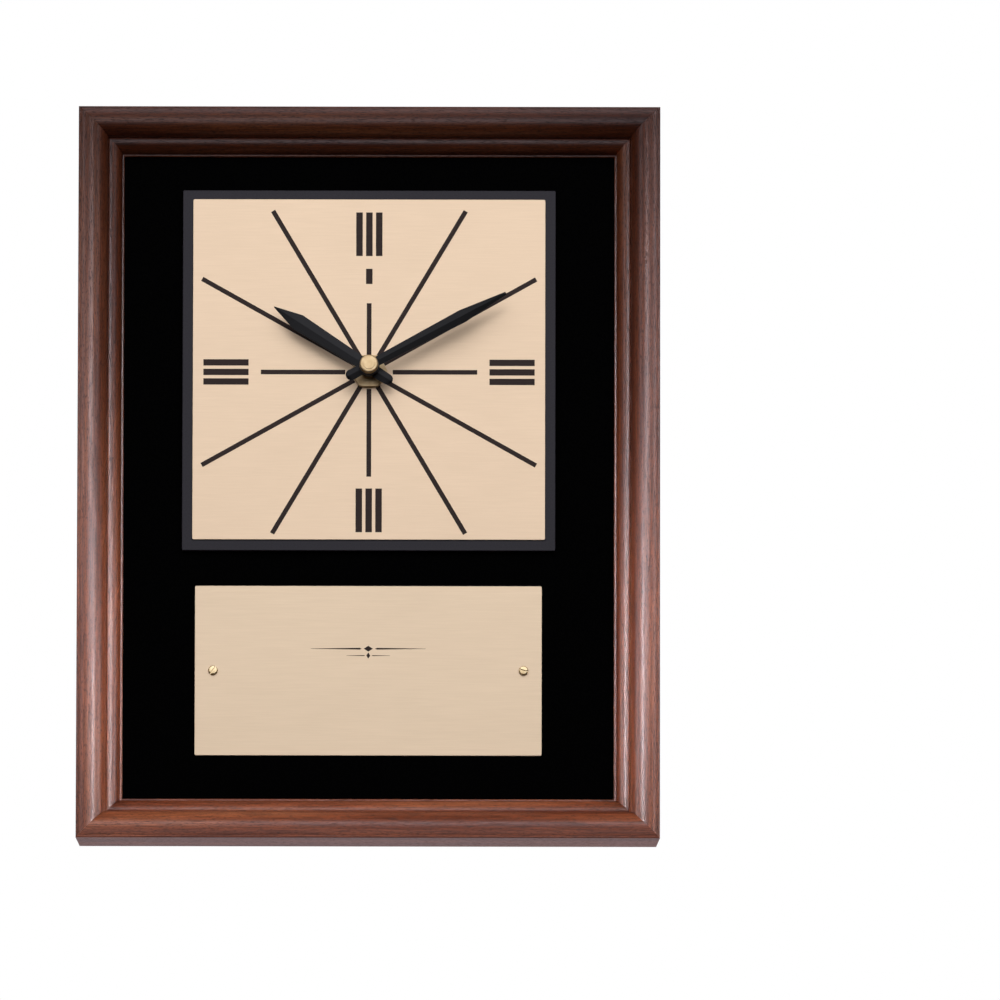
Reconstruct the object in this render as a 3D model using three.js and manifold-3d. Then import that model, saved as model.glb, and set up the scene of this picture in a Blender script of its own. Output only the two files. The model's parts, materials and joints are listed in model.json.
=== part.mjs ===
// A wall plaque with a quartz clock: a walnut picture-frame moulding round a velour panel,
// which carries a square brass dial on a black plate and a brass plate for an engraving.
// Millimetres, +Z up, the front faces -Y. The origin is on the back of the top rail,
// at the middle of the saw-tooth hanger, where the nail bears.
import * as THREE from "three";
import { mergeVertices } from "three/addons/utils/BufferGeometryUtils.js";
import Module from "manifold-3d";

const wasm = await Module();
wasm.setup();

// Frame moulding
const FRAME_WIDTH = 295;
const FRAME_HEIGHT = 383;
const FRAME_DEPTH = 25.4; // from the back to the outer front edge
const RAIL_WIDTH = 23.3; // from the outer edge to the sight edge
const RABBET_WIDTH = 6.3;
const RABBET_DEPTH = 11.4;
const LIP_FRONT = 12.8; // the flat lip at the sight edge, in front of the back
const LIP_WIDTH = 1.8;
const LIP_CHAMFER = 0.4;
const EDGE_ROUND = 1;
const BACK_TAPER = 1.8; // how far the outer face leans in towards the back
const CREST_INSET = 7;
const CREST_RISE = 1.6; // how far the big roll stands in front of the outer edge
const CREASE_INSET = 15;
const CREASE_FRONT = 18.8;
const BEAD_INSET = 16.4;
const BEAD_RISE = 0.6; // how far the inner bead stands in front of the crease
const MITRE_GAP = 0.1;
const HANGER_DROP = 11; // from the top edge down to the nail

// Fasteners of the frame
const V_NAIL_LEG = 8;
const V_NAIL_THICK = 0.5;
const V_NAIL_LENGTH = 7;
const V_NAIL_PAST = 2; // how far its slot runs past the mitre
const POINT_WIDTH = 9;
const POINT_LENGTH = 14;
const POINT_THICK = 0.5;
const POINT_TIP = 1.2;
const POINT_SPREAD = 0.29; // share of a rail's length from its middle to each point
const SLOT_CLEAR = 0.3;

// Panel
const VELOUR_THICK = 0.9;
const BOARD_THICK = 3.2;
const BOARD_CLEAR = 0.5;
const PANEL_CORNER = 1;
const CLOCK_CUTOUT = 58;
const SEAT = 0.02; // air between faces that rest on each other

// Plates on the panel
const BASE_PLATE_SIZE = 189;
const BASE_PLATE_THICK = 3;
const BASE_PLATE_DROP = 135.8; // from the frame's top edge to the plate's middle
const DIAL_SIZE = 178.5;
const DIAL_THICK = 0.8;
const DIAL_LIFT = 0.3; // above the middle of the base plate
const SHAFT_DROP = 137; // the shaft sits a little below the middle of the dial
const PLATE_CORNER = 0.8;
const ENGRAVED_WIDTH = 175.4;
const ENGRAVED_HEIGHT = 88.6;
const ENGRAVED_THICK = 1;
const ENGRAVED_DROP = 292.6;
const SCREW_INSET = 9.2;
const SCREW_HEAD_RADIUS = 2.4;
const SCREW_HEAD_HEIGHT = 1.5;
const SCREW_SHANK_RADIUS = 1.1;
const SCREW_SHOULDER = 0.4; // upright part of the head, under its dome
const SCREW_POINT = 1.5;
const SCREW_SLOT = 0.6;
const SCREW_SLOT_DEPTH = 0.8;
const SCREW_SLOT_TURNS = [35, 105]; // degrees, left screw and right screw

// Hanging hardware
const HANGER_LENGTH = 46;
const HANGER_HEIGHT = 9;
const HANGER_THICK = 0.8;
const HANGER_STAND_OFF = 2.2;
const HANGER_FOOT = 7;
const HANGER_TOOTH = 2;
const HANGER_NOTCH = 1.4;
const NAIL_RADIUS = 0.6;
const NAIL_LENGTH = 10;
const NAIL_POINT = 2;
const NAIL_HEAD_RADIUS = 1.9;
const NAIL_HEAD_EDGE = 0.4;
const NAIL_HEAD_CROWN = 0.6;
const NAIL_CLEAR = 0.1;
const BUMPER_RADIUS = 6.4;
const BUMPER_HEIGHT = 6;
const BUMPER_EDGE = 2.6; // upright part of the bumper, under its dome
const BUMPER_INSET = 20;

// Quartz movement; depths are counted back from the front of its case
const CASE_SIZE = 56;
const CASE_CORNER = 3;
const CASE_DEPTH = 15.5;
const CASE_WALL = 1.4;
const CASE_FRONT_WALL = 1.5;
const COVER_THICK = 1.5;
const BAY_WALL = 1; // front wall behind the battery
const BAY_RIB_TOP = -11.1;
const BAY_RIB_THICK = 1;
const BAY_RIB_CLEAR = 0.4; // below the rear cover
const BATTERY_RADIUS = 7.15;
const BATTERY_LENGTH = 49.5;
const BATTERY_BUTTON_RADIUS = 2.7;
const BATTERY_BUTTON_LENGTH = 1;
const BATTERY_CHAMFER = 0.6;
const BATTERY_DROP = 19.35; // below the shaft
const BATTERY_CLEAR = 0.1;
const WINDOW_CLEAR = 0.25; // round the battery, in the rear cover
const WINDOW_END_CLEAR = 1.3;
const THUMB_RADIUS = 5;
const THUMB_RISE = 6; // of the thumb notch, above the middle of the battery
const CONTACT_THICK = 0.4;
const CONTACT_HEIGHT = 10;
const CONTACT_WIDTH = 7;
const CONTACT_FOLD = 3.2; // height of the folded tongue at its root
const CONTACT_TIP = 0.6;
const CONTACT_CLEAR = 0.4; // air to the battery
const CONTACT_DIMPLE = 0.05; // how far the flat contact's tongue stands out
const CONTACT_SEAT = 0.1; // off the end wall of the bay
const BUSHING_RADIUS = 4;
const BUSHING_BORE = 2.8;
const BUSHING_FLANGE = 5.5;
const BUSHING_FLANGE_THICK = 0.6;
const BUSHING_CHAMFER = 0.4;
const BUSHING_CLEAR = 0.2; // in the plates, the washer and the nut
const BUSHING_CASE_CLEAR = 0.1;
const WASHER_RADIUS = 8.5;
const WASHER_THICK = 0.8;
const NUT_ACROSS_FLATS = 16.2;
const NUT_THICK = 2.4;
const NUT_CHAMFER = 0.9;
const BUSHING_PROUD = 3; // thread showing in front of the nut
const HOUR_TUBE_RADIUS = 2.5;
const HOUR_TUBE_BORE = 1.7;
const ARBOR_RADIUS = 1.4;
const PIVOT_RADIUS = 0.45;
const PIVOT_CLEAR = 0.08;
const PIVOT_DEPTH = 0.9; // how far a pivot goes into its boss
const END_SHAKE = 0.1; // play along an arbor, at each end
const TRAIN_ARBOR_RADIUS = 0.5;
const TRAIN_HUB_RADIUS = 1.1;
const BOSS_RADIUS = 1;
const BOSS_AIR = 0.5; // between a boss and the first teeth on its arbor
const REAR_BOSS_DEPTH = 12.4;

// Motion work and going train: tooth counts and modules
const MOTION_MODULE = 0.4375;
const CANNON_TEETH = 12;
const MINUTE_WHEEL_TEETH = 36;
const HOUR_MODULE = 0.42;
const MINUTE_PINION_TEETH = 10;
const HOUR_WHEEL_TEETH = 40;
const CENTRE_MODULE = 0.375;
const CENTRE_TEETH = 48;
const THIRD_MODULE = 0.295;
const THIRD_TEETH = 45;
const FOURTH_MODULE = 0.345;
const FOURTH_TEETH = 30;
const FIFTH_MODULE = 0.295;
const FIFTH_TEETH = 36;
const LEAVES = 6; // teeth of every pinion in the going train
const WHEEL_THICK = 0.8;
const MINUTE_WHEEL_AT = 135; // degrees anticlockwise from +X, seen from the front
const THIRD_WHEEL_AT = 45;
const FOURTH_WHEEL_AT = 60;
const FIFTH_WHEEL_AT = 160;
const ROTOR_AT = 100;
const KNOB_RADIUS = 5;
const KNOB_THICK = 2.6;
const KNOB_RIBS = 20;
const KNOB_RIB_DEPTH = 0.35;
const KNOB_SLOT = 1;
const KNOB_SLOT_DEPTH = 0.4;
const KNOB_BORE_DEPTH = 2;
const KNOB_BORE_CLEAR = 0.05;
const WELL_RADIUS = 5.6;
const WELL_DEPTH = 3;
const WELL_WALL = 0.9;
const WELL_FLOOR = 1;
const KNOB_ARBOR_RADIUS = 0.9;
const KNOB_CLEAR = 0.2; // under the knob
const MINUTE_HUB_WIDTH = 2.6; // of the minute wheel's arbor between wheel and pinion
const CENTRE_POST_FRONT = 9.4;
const CENTRE_POST_RADIUS = 2;
const CENTRE_SHAKE = 0.3;
const CENTRE_HUB_RADIUS = 3;
const CENTRE_HUB_LENGTH = 1.3;

// Depths of the wheels, front to back, each with the pinion that drives it
const HOUR_LAYER = 2.4;
const MINUTE_LAYER = 4;
const CENTRE_LAYER = 5.8;
const THIRD_LAYER = 7.4;
const FOURTH_LAYER = 9.2;
const FIFTH_LAYER = 11;
const PINION_OVERHANG = 0.2;

// Teeth, in shares of the module and of the angle from tooth to tooth
const ADDENDUM = 0.85;
const DEDENDUM = 1.15;
const TIP_SHARE = 0.1;
const ROOT_SHARE = 0.27;

// Electronics and stepping motor
const CIRCUIT_WIDTH = 7;
const CIRCUIT_HEIGHT = 28;
const CIRCUIT_THICK = 1;
const CIRCUIT_CORNER = 0.6;
const CIRCUIT_LAYER = 5.4;
const CIRCUIT_AT = { x: -22, z: 4 };
const CRYSTAL_RADIUS = 1;
const CRYSTAL_LENGTH = 6;
const CRYSTAL_END = 0.2;
const CHIP_RADIUS = 2.2;
const CHIP_THICK = 0.9;
const CHIP_RISE = 8;
const ROTOR_RADIUS = 3.2;
const ROTOR_THICK = 2;
const MOTOR_LAYER = 8.7;
const MOTOR_THICK = 0.8;
const COIL_LENGTH = 15;
const COIL_RADIUS = 3;
const COIL_FLANGE = 0.8; // thickness of the bobbin's ends
const COIL_WINDING_DROP = 0.5; // from the bobbin's rim down to the winding
const COIL_AT = -13; // across from the shaft
const STATOR_ARM = 2.2;
const STATOR_RIM = 0.7;
const STATOR_AIR = 0.4; // between the stator and the rotor
const STATOR_COIL_AIR = 0.3;
const STATOR_BELOW = 0.6; // between the coil and the arm that runs under it
const STATOR_RING_FROM = 240; // degrees, where the ring leaves the lower arm
const STATOR_RING_TO = 510; // where it meets the coil's arm

// Hands, at ten past ten; heights are counted from the face of the dial
const MINUTE_ANGLE = 61.2; // degrees clockwise from twelve
const HOUR_ANGLE = 303.4;
const HOUR_HAND_LIFT = 9;
const HOUR_HAND_THICK = 1;
const HOUR_HUB_RADIUS = 5;
const HOUR_HUB_PROUD = 0.1; // how far the hub stands in front of the blade
const HOUR_TUBE_PROUD = 0.2;
const MINUTE_HAND_LIFT = 12.8;
const MINUTE_HAND_THICK = 1.1;
const MINUTE_HUB_RADIUS = 5.4;
const MINUTE_HUB_PROUD = 0.3;
const HAND_BORE_CLEAR = 0.05;
const HAND_EDGE = 0.4; // upright edge of a blade, as a share of its thickness
const CAP_RADIUS = 4.7;
const CAP_HEIGHT = 3.6;
const CAP_FACE = 0.95; // thickness of the cap in front of the arbor
const CAP_ROUND = 1.1;
// Distance from the shaft and width there, from the tail to the tip
const HOUR_HAND_WIDTHS = [[-14, 5.6], [-6, 6], [0, 6], [43, 8.7], [57.5, 0.4]];
const MINUTE_HAND_WIDTHS = [[-13, 5.8], [-6, 5.4], [0, 4.8], [54, 6.9], [79, 1.5]];

// Making: how far a cutter runs past a face, how far joined bodies run into each other, and facets
const PAST = 1;
const INTO = 0.2;
const CUTTER_LENGTH = 40;
const MERGE_DISTANCE = 1e-4;
const ROUND_SIDES = 20;
const FINE_SIDES = 28;
const SMALL_SIDES = 12;
const MOULDING_STEPS = 7;
const DOME_STEPS = 4;
const STATOR_STEPS = 10;
const CROWN_STEPS = 6;
const TAIL_STEPS = 4;
const TAIL_END = 0.95; // share of the quarter turn that rounds a tail

// Places that follow from the above
const FRAME_MIDDLE = HANGER_DROP - FRAME_HEIGHT / 2;
const WALL_INSET = RAIL_WIDTH - RABBET_WIDTH; // outer edge to the wall of the rabbet
const VELOUR_FRONT = -RABBET_DEPTH + SEAT;
const BOARD_FRONT = VELOUR_FRONT + VELOUR_THICK + SEAT;
const BOARD_BACK = BOARD_FRONT + BOARD_THICK;
const BASE_BACK = VELOUR_FRONT - SEAT;
const BASE_FRONT = BASE_BACK - BASE_PLATE_THICK;
const DIAL_BACK = BASE_FRONT - SEAT;
const DIAL_FRONT = DIAL_BACK - DIAL_THICK;
const SHAFT_HEIGHT = HANGER_DROP - SHAFT_DROP;
const CASE_FRONT = BASE_BACK + SEAT;
const NUT_FRONT = DIAL_FRONT - WASHER_THICK - NUT_THICK - 2 * SEAT;
const BUSHING_FRONT = NUT_FRONT - BUSHING_PROUD;
const depth = (back) => CASE_FRONT + back;

// Finishes
const finish = (color, roughness, metalness) =>
  new THREE.MeshStandardMaterial({ color, roughness, metalness });
const WALNUT = finish("#6e4132", 0.35, 0);
const HARDBOARD = finish("#5a4130", 0.8, 0);
const VELOUR = finish("#050506", 1, 0);
const BRASS = finish("#e0c9a6", 0.35, 1);
const SCREW_BRASS = finish("#c9a368", 0.3, 1);
const BLACK_PLATE = finish("#322e33", 0.4, 0);
const HAND_BLACK = finish("#222226", 0.35, 0);
const STEEL = finish("#b9bcc0", 0.35, 1);
const RUBBER = finish("#2b2b2b", 0.85, 0);
const CASE_PLASTIC = finish("#1d1d1f", 0.5, 0);
const WHEEL_PLASTIC = finish("#e6e2d6", 0.45, 0);
const BOARD_GREEN = finish("#2f5d3a", 0.5, 0);
const COPPER = finish("#a8552f", 0.4, 1);
const CELL_JACKET = finish("#8a8d92", 0.35, 0);

// Geometry helpers

// A geometry as a solid that can be joined and cut.
function solid(geometry) {
  const bare = geometry.clone();
  bare.deleteAttribute("normal");
  bare.deleteAttribute("uv");
  const merged = mergeVertices(bare, MERGE_DISTANCE);
  return new wasm.Manifold(
    new wasm.Mesh({
      numProp: 3,
      vertProperties: merged.attributes.position.array,
      triVerts: new Uint32Array(merged.index.array),
    }),
  );
}

// A solid back as a geometry.
function geometryOf(body) {
  const mesh = body.getMesh();
  return new THREE.BufferGeometry()
    .setAttribute("position", new THREE.BufferAttribute(mesh.vertProperties, 3))
    .setIndex(new THREE.BufferAttribute(mesh.triVerts, 1));
}

const join = (first, ...others) =>
  geometryOf(others.reduce((body, other) => body.add(solid(other)), solid(first)));

const cut = (first, ...tools) =>
  geometryOf(tools.reduce((body, tool) => body.subtract(solid(tool)), solid(first)));

// A flat outline in X and Z, given thickness from one depth to another.
function plate(outline, back, front, curveSegments = 3) {
  return new THREE.ExtrudeGeometry(outline, {
    depth: back - front,
    bevelEnabled: false,
    curveSegments,
  })
    .rotateX(Math.PI / 2)
    .translate(0, back, 0);
}

// A box between two corners.
function block(x0, x1, y0, y1, z0, z1) {
  return new THREE.BoxGeometry(x1 - x0, y1 - y0, z1 - z0).translate(
    (x0 + x1) / 2,
    (y0 + y1) / 2,
    (z0 + z1) / 2,
  );
}

// A profile of radius and depth, turned about the Y axis. A bored profile closes on itself.
function turned(profile, sides = ROUND_SIDES, bored = false) {
  const points = profile.map(([radius, y]) => new THREE.Vector2(radius, y));
  if (THREE.ShapeUtils.area(points) < 0) points.reverse();
  if (bored) points.push(points[0].clone());
  return new THREE.LatheGeometry(points, sides);
}

const rod = (radius, back, front, sides = ROUND_SIDES) =>
  turned([[0, front], [radius, front], [radius, back], [0, back]], sides);

const tube = (radius, bore, back, front, sides = ROUND_SIDES) =>
  turned([[bore, front], [radius, front], [radius, back], [bore, back]], sides, true);

// Points of a turned dome, from its middle out to its rim.
function dome(radius, top, rim) {
  const points = [];
  for (let i = 0; i <= DOME_STEPS; i++) {
    const angle = (Math.PI / 2) * (i / DOME_STEPS);
    points.push([radius * Math.sin(angle), rim + (top - rim) * Math.cos(angle)]);
  }
  return points;
}

// Points of a turned face's rounded edge, from the face out to the side.
function roundedEdge(radius, front, round) {
  return dome(round, front, front + round).map(([out, y]) => [radius - round + out, y]);
}

function roundedRectangle(width, height, corner) {
  const x = width / 2;
  const y = height / 2;
  const outline = new THREE.Shape();
  outline.moveTo(-x + corner, -y);
  outline.lineTo(x - corner, -y);
  outline.quadraticCurveTo(x, -y, x, -y + corner);
  outline.lineTo(x, y - corner);
  outline.quadraticCurveTo(x, y, x - corner, y);
  outline.lineTo(-x + corner, y);
  outline.quadraticCurveTo(-x, y, -x, y - corner);
  outline.lineTo(-x, -y + corner);
  outline.quadraticCurveTo(-x, -y, -x + corner, -y);
  return outline;
}

// Cross-sections joined in order into one closed skin with flat ends.
function loft(rings) {
  const sides = rings[0].length;
  const positions = rings.flat().flatMap((point) => point.toArray());
  const faces = [];
  for (let ring = 0; ring + 1 < rings.length; ring++) {
    for (let side = 0; side < sides; side++) {
      const a = ring * sides + side;
      const b = ring * sides + ((side + 1) % sides);
      faces.push(a, b + sides, b, a, a + sides, b + sides);
    }
  }
  const last = (rings.length - 1) * sides;
  for (let side = 1; side + 1 < sides; side++) {
    faces.push(0, side, side + 1, last, last + side + 1, last + side);
  }
  return new THREE.BufferGeometry()
    .setAttribute("position", new THREE.Float32BufferAttribute(positions, 3))
    .setIndex(faces);
}

const degrees = THREE.MathUtils.degToRad;

// A place beside another one, at a distance and an angle in the plane of the dial.
const beside = (from, distance, angle) => ({
  x: from.x + distance * Math.cos(degrees(angle)),
  z: from.z + distance * Math.sin(degrees(angle)),
});

// The scene graph

const plaque = new THREE.Group();
const frame = new THREE.Group();
frame.position.z = FRAME_MIDDLE;
const clock = new THREE.Group();
clock.position.z = SHAFT_HEIGHT;
plaque.add(frame, clock);

function add(group, name, geometry, material, place = {}) {
  const mesh = new THREE.Mesh(geometry, material);
  mesh.name = name;
  mesh.position.set(place.x ?? 0, place.y ?? 0, place.z ?? 0);
  mesh.rotation.y = place.turn ?? 0;
  group.add(mesh);
}

// Frame

// A quarter of an ellipse, from a level start down to an upright end.
function fallAway(section, fromInset, fromFront, toInset, toFront) {
  section.absellipse(
    fromInset,
    toFront,
    toInset - fromInset,
    fromFront - toFront,
    Math.PI / 2,
    0,
    true,
  );
}

// The moulding's section: inset from the outer edge, and distance in front of the back.
function mouldingSection() {
  const crest = FRAME_DEPTH + CREST_RISE;
  const bead = CREASE_FRONT + BEAD_RISE;
  const lip = RAIL_WIDTH - LIP_WIDTH;
  const section = new THREE.Shape();
  section.moveTo(BACK_TAPER, 0);
  section.lineTo(0, FRAME_DEPTH - EDGE_ROUND);
  section.quadraticCurveTo(0, FRAME_DEPTH, EDGE_ROUND, FRAME_DEPTH);
  section.quadraticCurveTo(CREST_INSET / 2, crest, CREST_INSET, crest);
  fallAway(section, CREST_INSET, crest, CREASE_INSET, CREASE_FRONT);
  section.quadraticCurveTo(CREASE_INSET, bead, BEAD_INSET, bead);
  fallAway(section, BEAD_INSET, bead, lip, LIP_FRONT);
  section.lineTo(RAIL_WIDTH - LIP_CHAMFER, LIP_FRONT);
  section.lineTo(RAIL_WIDTH, LIP_FRONT - LIP_CHAMFER);
  section.lineTo(RAIL_WIDTH, RABBET_DEPTH);
  section.lineTo(WALL_INSET, RABBET_DEPTH);
  section.lineTo(WALL_INSET, 0);
  return section;
}

// One length of moulding about the frame's middle, its outer edge up, with both ends cut at 45 degrees.
function mitredLength(length, outerHeight) {
  const rail = new THREE.ExtrudeGeometry(mouldingSection(), {
    depth: 1,
    bevelEnabled: false,
    curveSegments: MOULDING_STEPS,
  });
  const points = rail.attributes.position;
  for (let i = 0; i < points.count; i++) {
    const inset = points.getX(i);
    const end = points.getZ(i) > 0.5 ? -1 : 1;
    const reach = length / 2 - inset - MITRE_GAP / 2;
    points.setXYZ(i, end * reach, -points.getY(i), outerHeight - inset);
  }
  return rail;
}

// What the fasteners need cut out of a length of moulding.
function railSlots(length, outerHeight) {
  const slots = [];
  const nailInset = WALL_INSET / 2;
  const nailHeight = outerHeight - nailInset;
  const nailHalf = V_NAIL_THICK / 2 + SLOT_CLEAR;
  for (const side of [-1, 1]) {
    const corner = side * (length / 2 - nailInset);
    const ends = [corner + side * V_NAIL_PAST, corner - side * (V_NAIL_LEG + SLOT_CLEAR)];
    ends.sort((a, b) => a - b);
    slots.push(
      block(...ends, -V_NAIL_LENGTH - SLOT_CLEAR, PAST, nailHeight - nailHalf, nailHeight + nailHalf),
    );
    const point = side * length * POINT_SPREAD;
    const half = POINT_WIDTH / 2 + SLOT_CLEAR;
    slots.push(
      block(
        point - half,
        point + half,
        BOARD_BACK + SEAT - SLOT_CLEAR,
        BOARD_BACK + SEAT + POINT_THICK + SLOT_CLEAR,
        outerHeight - WALL_INSET - PAST,
        outerHeight - WALL_INSET + POINT_LENGTH / 2 + SLOT_CLEAR,
      ),
    );
  }
  return slots;
}

// A framer's point: a flat steel diamond, half of it in the wood.
function framersPoint() {
  const outline = new THREE.Shape();
  outline.moveTo(-POINT_WIDTH / 2, 0);
  outline.lineTo(-POINT_WIDTH / 3, -POINT_LENGTH / 2);
  outline.lineTo(POINT_WIDTH / 3, -POINT_LENGTH / 2);
  outline.lineTo(POINT_WIDTH / 2, 0);
  outline.lineTo(POINT_TIP / 2, POINT_LENGTH / 2);
  outline.lineTo(-POINT_TIP / 2, POINT_LENGTH / 2);
  return plate(outline, BOARD_BACK + SEAT + POINT_THICK, BOARD_BACK + SEAT);
}

// A V-nail: an angle of sheet steel, driven into the back with one leg in each rail.
function vNail() {
  const half = V_NAIL_THICK / 2;
  const outline = new THREE.Shape();
  outline.moveTo(half, half);
  outline.lineTo(-V_NAIL_LEG, half);
  outline.lineTo(-V_NAIL_LEG, -half);
  outline.lineTo(-half, -half);
  outline.lineTo(-half, -V_NAIL_LEG);
  outline.lineTo(half, -V_NAIL_LEG);
  return plate(outline, 0, -V_NAIL_LENGTH);
}

const hangerNails = [-1, 1].map((side) => side * (HANGER_LENGTH / 2 - HANGER_FOOT / 2));
const hangerHeight = FRAME_HEIGHT / 2 - HANGER_DROP;
const nailHoles = hangerNails.map((x) =>
  rod(NAIL_RADIUS + NAIL_CLEAR, PAST, -NAIL_LENGTH - PAST, SMALL_SIDES).translate(x, 0, hangerHeight),
);

const RAILS = [
  { name: "frame_top_rail", turn: 0, length: FRAME_WIDTH, outer: FRAME_HEIGHT / 2, holes: nailHoles },
  { name: "frame_right_stile", turn: 90, length: FRAME_HEIGHT, outer: FRAME_WIDTH / 2, holes: [] },
  { name: "frame_bottom_rail", turn: 180, length: FRAME_WIDTH, outer: FRAME_HEIGHT / 2, holes: [] },
  { name: "frame_left_stile", turn: 270, length: FRAME_HEIGHT, outer: FRAME_WIDTH / 2, holes: [] },
];

let pointNumber = 0;
RAILS.forEach((rail, index) => {
  const turn = degrees(rail.turn);
  const cuts = [...railSlots(rail.length, rail.outer), ...rail.holes];
  add(frame, rail.name, cut(mitredLength(rail.length, rail.outer), ...cuts), WALNUT, { turn });

  const side = new THREE.Group();
  side.rotation.y = turn;
  frame.add(side);
  const nailInset = WALL_INSET / 2;
  const nailPlace = { x: rail.length / 2 - nailInset, z: rail.outer - nailInset };
  add(side, `v_nail_${index + 1}`, vNail(), STEEL, nailPlace);
  for (const end of [-1, 1]) {
    pointNumber += 1;
    const place = { x: end * rail.length * POINT_SPREAD, z: rail.outer - WALL_INSET };
    add(side, `framers_point_${pointNumber}`, framersPoint(), STEEL, place);
  }
});

// Panel: the board and its velour, both open behind the clock

const panelWidth = FRAME_WIDTH - 2 * WALL_INSET - 2 * BOARD_CLEAR;
const panelHeight = FRAME_HEIGHT - 2 * WALL_INSET - 2 * BOARD_CLEAR;
const shaftInFrame = SHAFT_HEIGHT - FRAME_MIDDLE;
const engravedInFrame = HANGER_DROP - ENGRAVED_DROP - FRAME_MIDDLE;
const screwPlaces = [-1, 1].map((side) => side * (ENGRAVED_WIDTH / 2 - SCREW_INSET));

const screwHole = (back, front) =>
  rod(SCREW_SHANK_RADIUS + SLOT_CLEAR, back + PAST, front - PAST, SMALL_SIDES);

function panel(back, front) {
  const sheet = plate(roundedRectangle(panelWidth, panelHeight, PANEL_CORNER), back, front, 2);
  const half = CLOCK_CUTOUT / 2;
  const opening = block(-half, half, front - PAST, back + PAST, shaftInFrame - half, shaftInFrame + half);
  const holes = screwPlaces.map((x) => screwHole(back, front).translate(x, 0, engravedInFrame));
  return cut(sheet, opening, ...holes);
}

add(frame, "velour_panel", panel(VELOUR_FRONT + VELOUR_THICK, VELOUR_FRONT), VELOUR);
add(frame, "backing_board", panel(BOARD_BACK, BOARD_FRONT), HARDBOARD);

// Engraving plate and its screws

const engravedBack = VELOUR_FRONT - SEAT;
const engravedFront = engravedBack - ENGRAVED_THICK;
const engravedPlate = plate(
  roundedRectangle(ENGRAVED_WIDTH, ENGRAVED_HEIGHT, PLATE_CORNER),
  engravedBack,
  engravedFront,
);
const engravedHoles = screwPlaces.map((x) => screwHole(engravedBack, engravedFront).translate(x, 0, 0));
add(frame, "engraved_plate", cut(engravedPlate, ...engravedHoles), BRASS, { z: engravedInFrame });

// A slotted round-head wood screw, its head on the plate.
function plateScrew(slotTurn) {
  const seat = engravedFront - SEAT;
  const top = seat - SCREW_HEAD_HEIGHT;
  const screw = turned([
    ...dome(SCREW_HEAD_RADIUS, top, seat - SCREW_SHOULDER),
    [SCREW_HEAD_RADIUS, seat],
    [SCREW_SHANK_RADIUS, seat],
    [SCREW_SHANK_RADIUS, BOARD_BACK - SCREW_POINT],
    [0, BOARD_BACK],
  ]);
  const reach = SCREW_HEAD_RADIUS + PAST;
  const half = SCREW_SLOT / 2;
  const slot = block(-reach, reach, top - PAST, top + SCREW_SLOT_DEPTH, -half, half);
  return cut(screw, slot.rotateY(slotTurn));
}

screwPlaces.forEach((x, index) => {
  const name = `plate_screw_${index === 0 ? "left" : "right"}`;
  const screw = plateScrew(degrees(SCREW_SLOT_TURNS[index]));
  add(frame, name, screw, SCREW_BRASS, { x, z: engravedInFrame });
});

// Hanging hardware

// A saw-tooth hanger: a strip bridged off the wood, with teeth along its lower edge.
function sawtoothHanger() {
  const half = HANGER_LENGTH / 2;
  const bridge = half - HANGER_FOOT;
  const rise = HANGER_STAND_OFF;
  const thick = HANGER_THICK;
  const bend = thick * Math.tan(Math.PI / 8); // what the outer line of a 45 degree bend runs on
  const side = new THREE.Shape();
  side.moveTo(-half, 0);
  side.lineTo(-bridge, 0);
  side.lineTo(-bridge + rise, rise);
  side.lineTo(bridge - rise, rise);
  side.lineTo(bridge, 0);
  side.lineTo(half, 0);
  side.lineTo(half, thick);
  side.lineTo(bridge + bend, thick);
  side.lineTo(bridge - rise + bend, rise + thick);
  side.lineTo(-bridge + rise - bend, rise + thick);
  side.lineTo(-bridge - bend, thick);
  side.lineTo(-half, thick);
  const strip = new THREE.ExtrudeGeometry(side, { depth: HANGER_HEIGHT, bevelEnabled: false }).translate(
    0,
    SEAT,
    -HANGER_HEIGHT / 2,
  );
  const notches = [];
  const bottom = -HANGER_HEIGHT / 2;
  const count = Math.floor((2 * (bridge - rise)) / HANGER_TOOTH) - 1;
  for (let i = 0; i < count; i++) {
    const x = (i - (count - 1) / 2) * HANGER_TOOTH;
    const notch = new THREE.Shape();
    notch.moveTo(x - HANGER_TOOTH / 2, bottom - PAST);
    notch.lineTo(x - HANGER_TOOTH / 2, bottom);
    notch.lineTo(x, bottom + HANGER_NOTCH);
    notch.lineTo(x + HANGER_TOOTH / 2, bottom);
    notch.lineTo(x + HANGER_TOOTH / 2, bottom - PAST);
    notches.push(plate(notch, rise + 2 * thick, rise - thick));
  }
  const holes = hangerNails.map((x) =>
    rod(NAIL_RADIUS + 2 * NAIL_CLEAR, thick + PAST, -PAST, SMALL_SIDES).translate(x, 0, 0),
  );
  return cut(strip, ...notches, ...holes);
}

const hangerNail = () => {
  const under = HANGER_THICK + 2 * SEAT;
  const edge = under + NAIL_HEAD_EDGE;
  return turned(
    [
      [0, -NAIL_LENGTH],
      [NAIL_RADIUS, NAIL_POINT - NAIL_LENGTH],
      [NAIL_RADIUS, under],
      [NAIL_HEAD_RADIUS, under],
      ...dome(NAIL_HEAD_RADIUS, edge + NAIL_HEAD_CROWN, edge).reverse(),
    ],
    SMALL_SIDES,
  );
};

add(frame, "sawtooth_hanger", sawtoothHanger(), STEEL, { z: hangerHeight });
hangerNails.forEach((x, index) =>
  add(frame, `hanger_nail_${index === 0 ? "left" : "right"}`, hangerNail(), STEEL, { x, z: hangerHeight }),
);

const bumper = () =>
  turned([[0, SEAT], [BUMPER_RADIUS, SEAT], ...dome(BUMPER_RADIUS, BUMPER_HEIGHT, BUMPER_EDGE).reverse()]);

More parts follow.
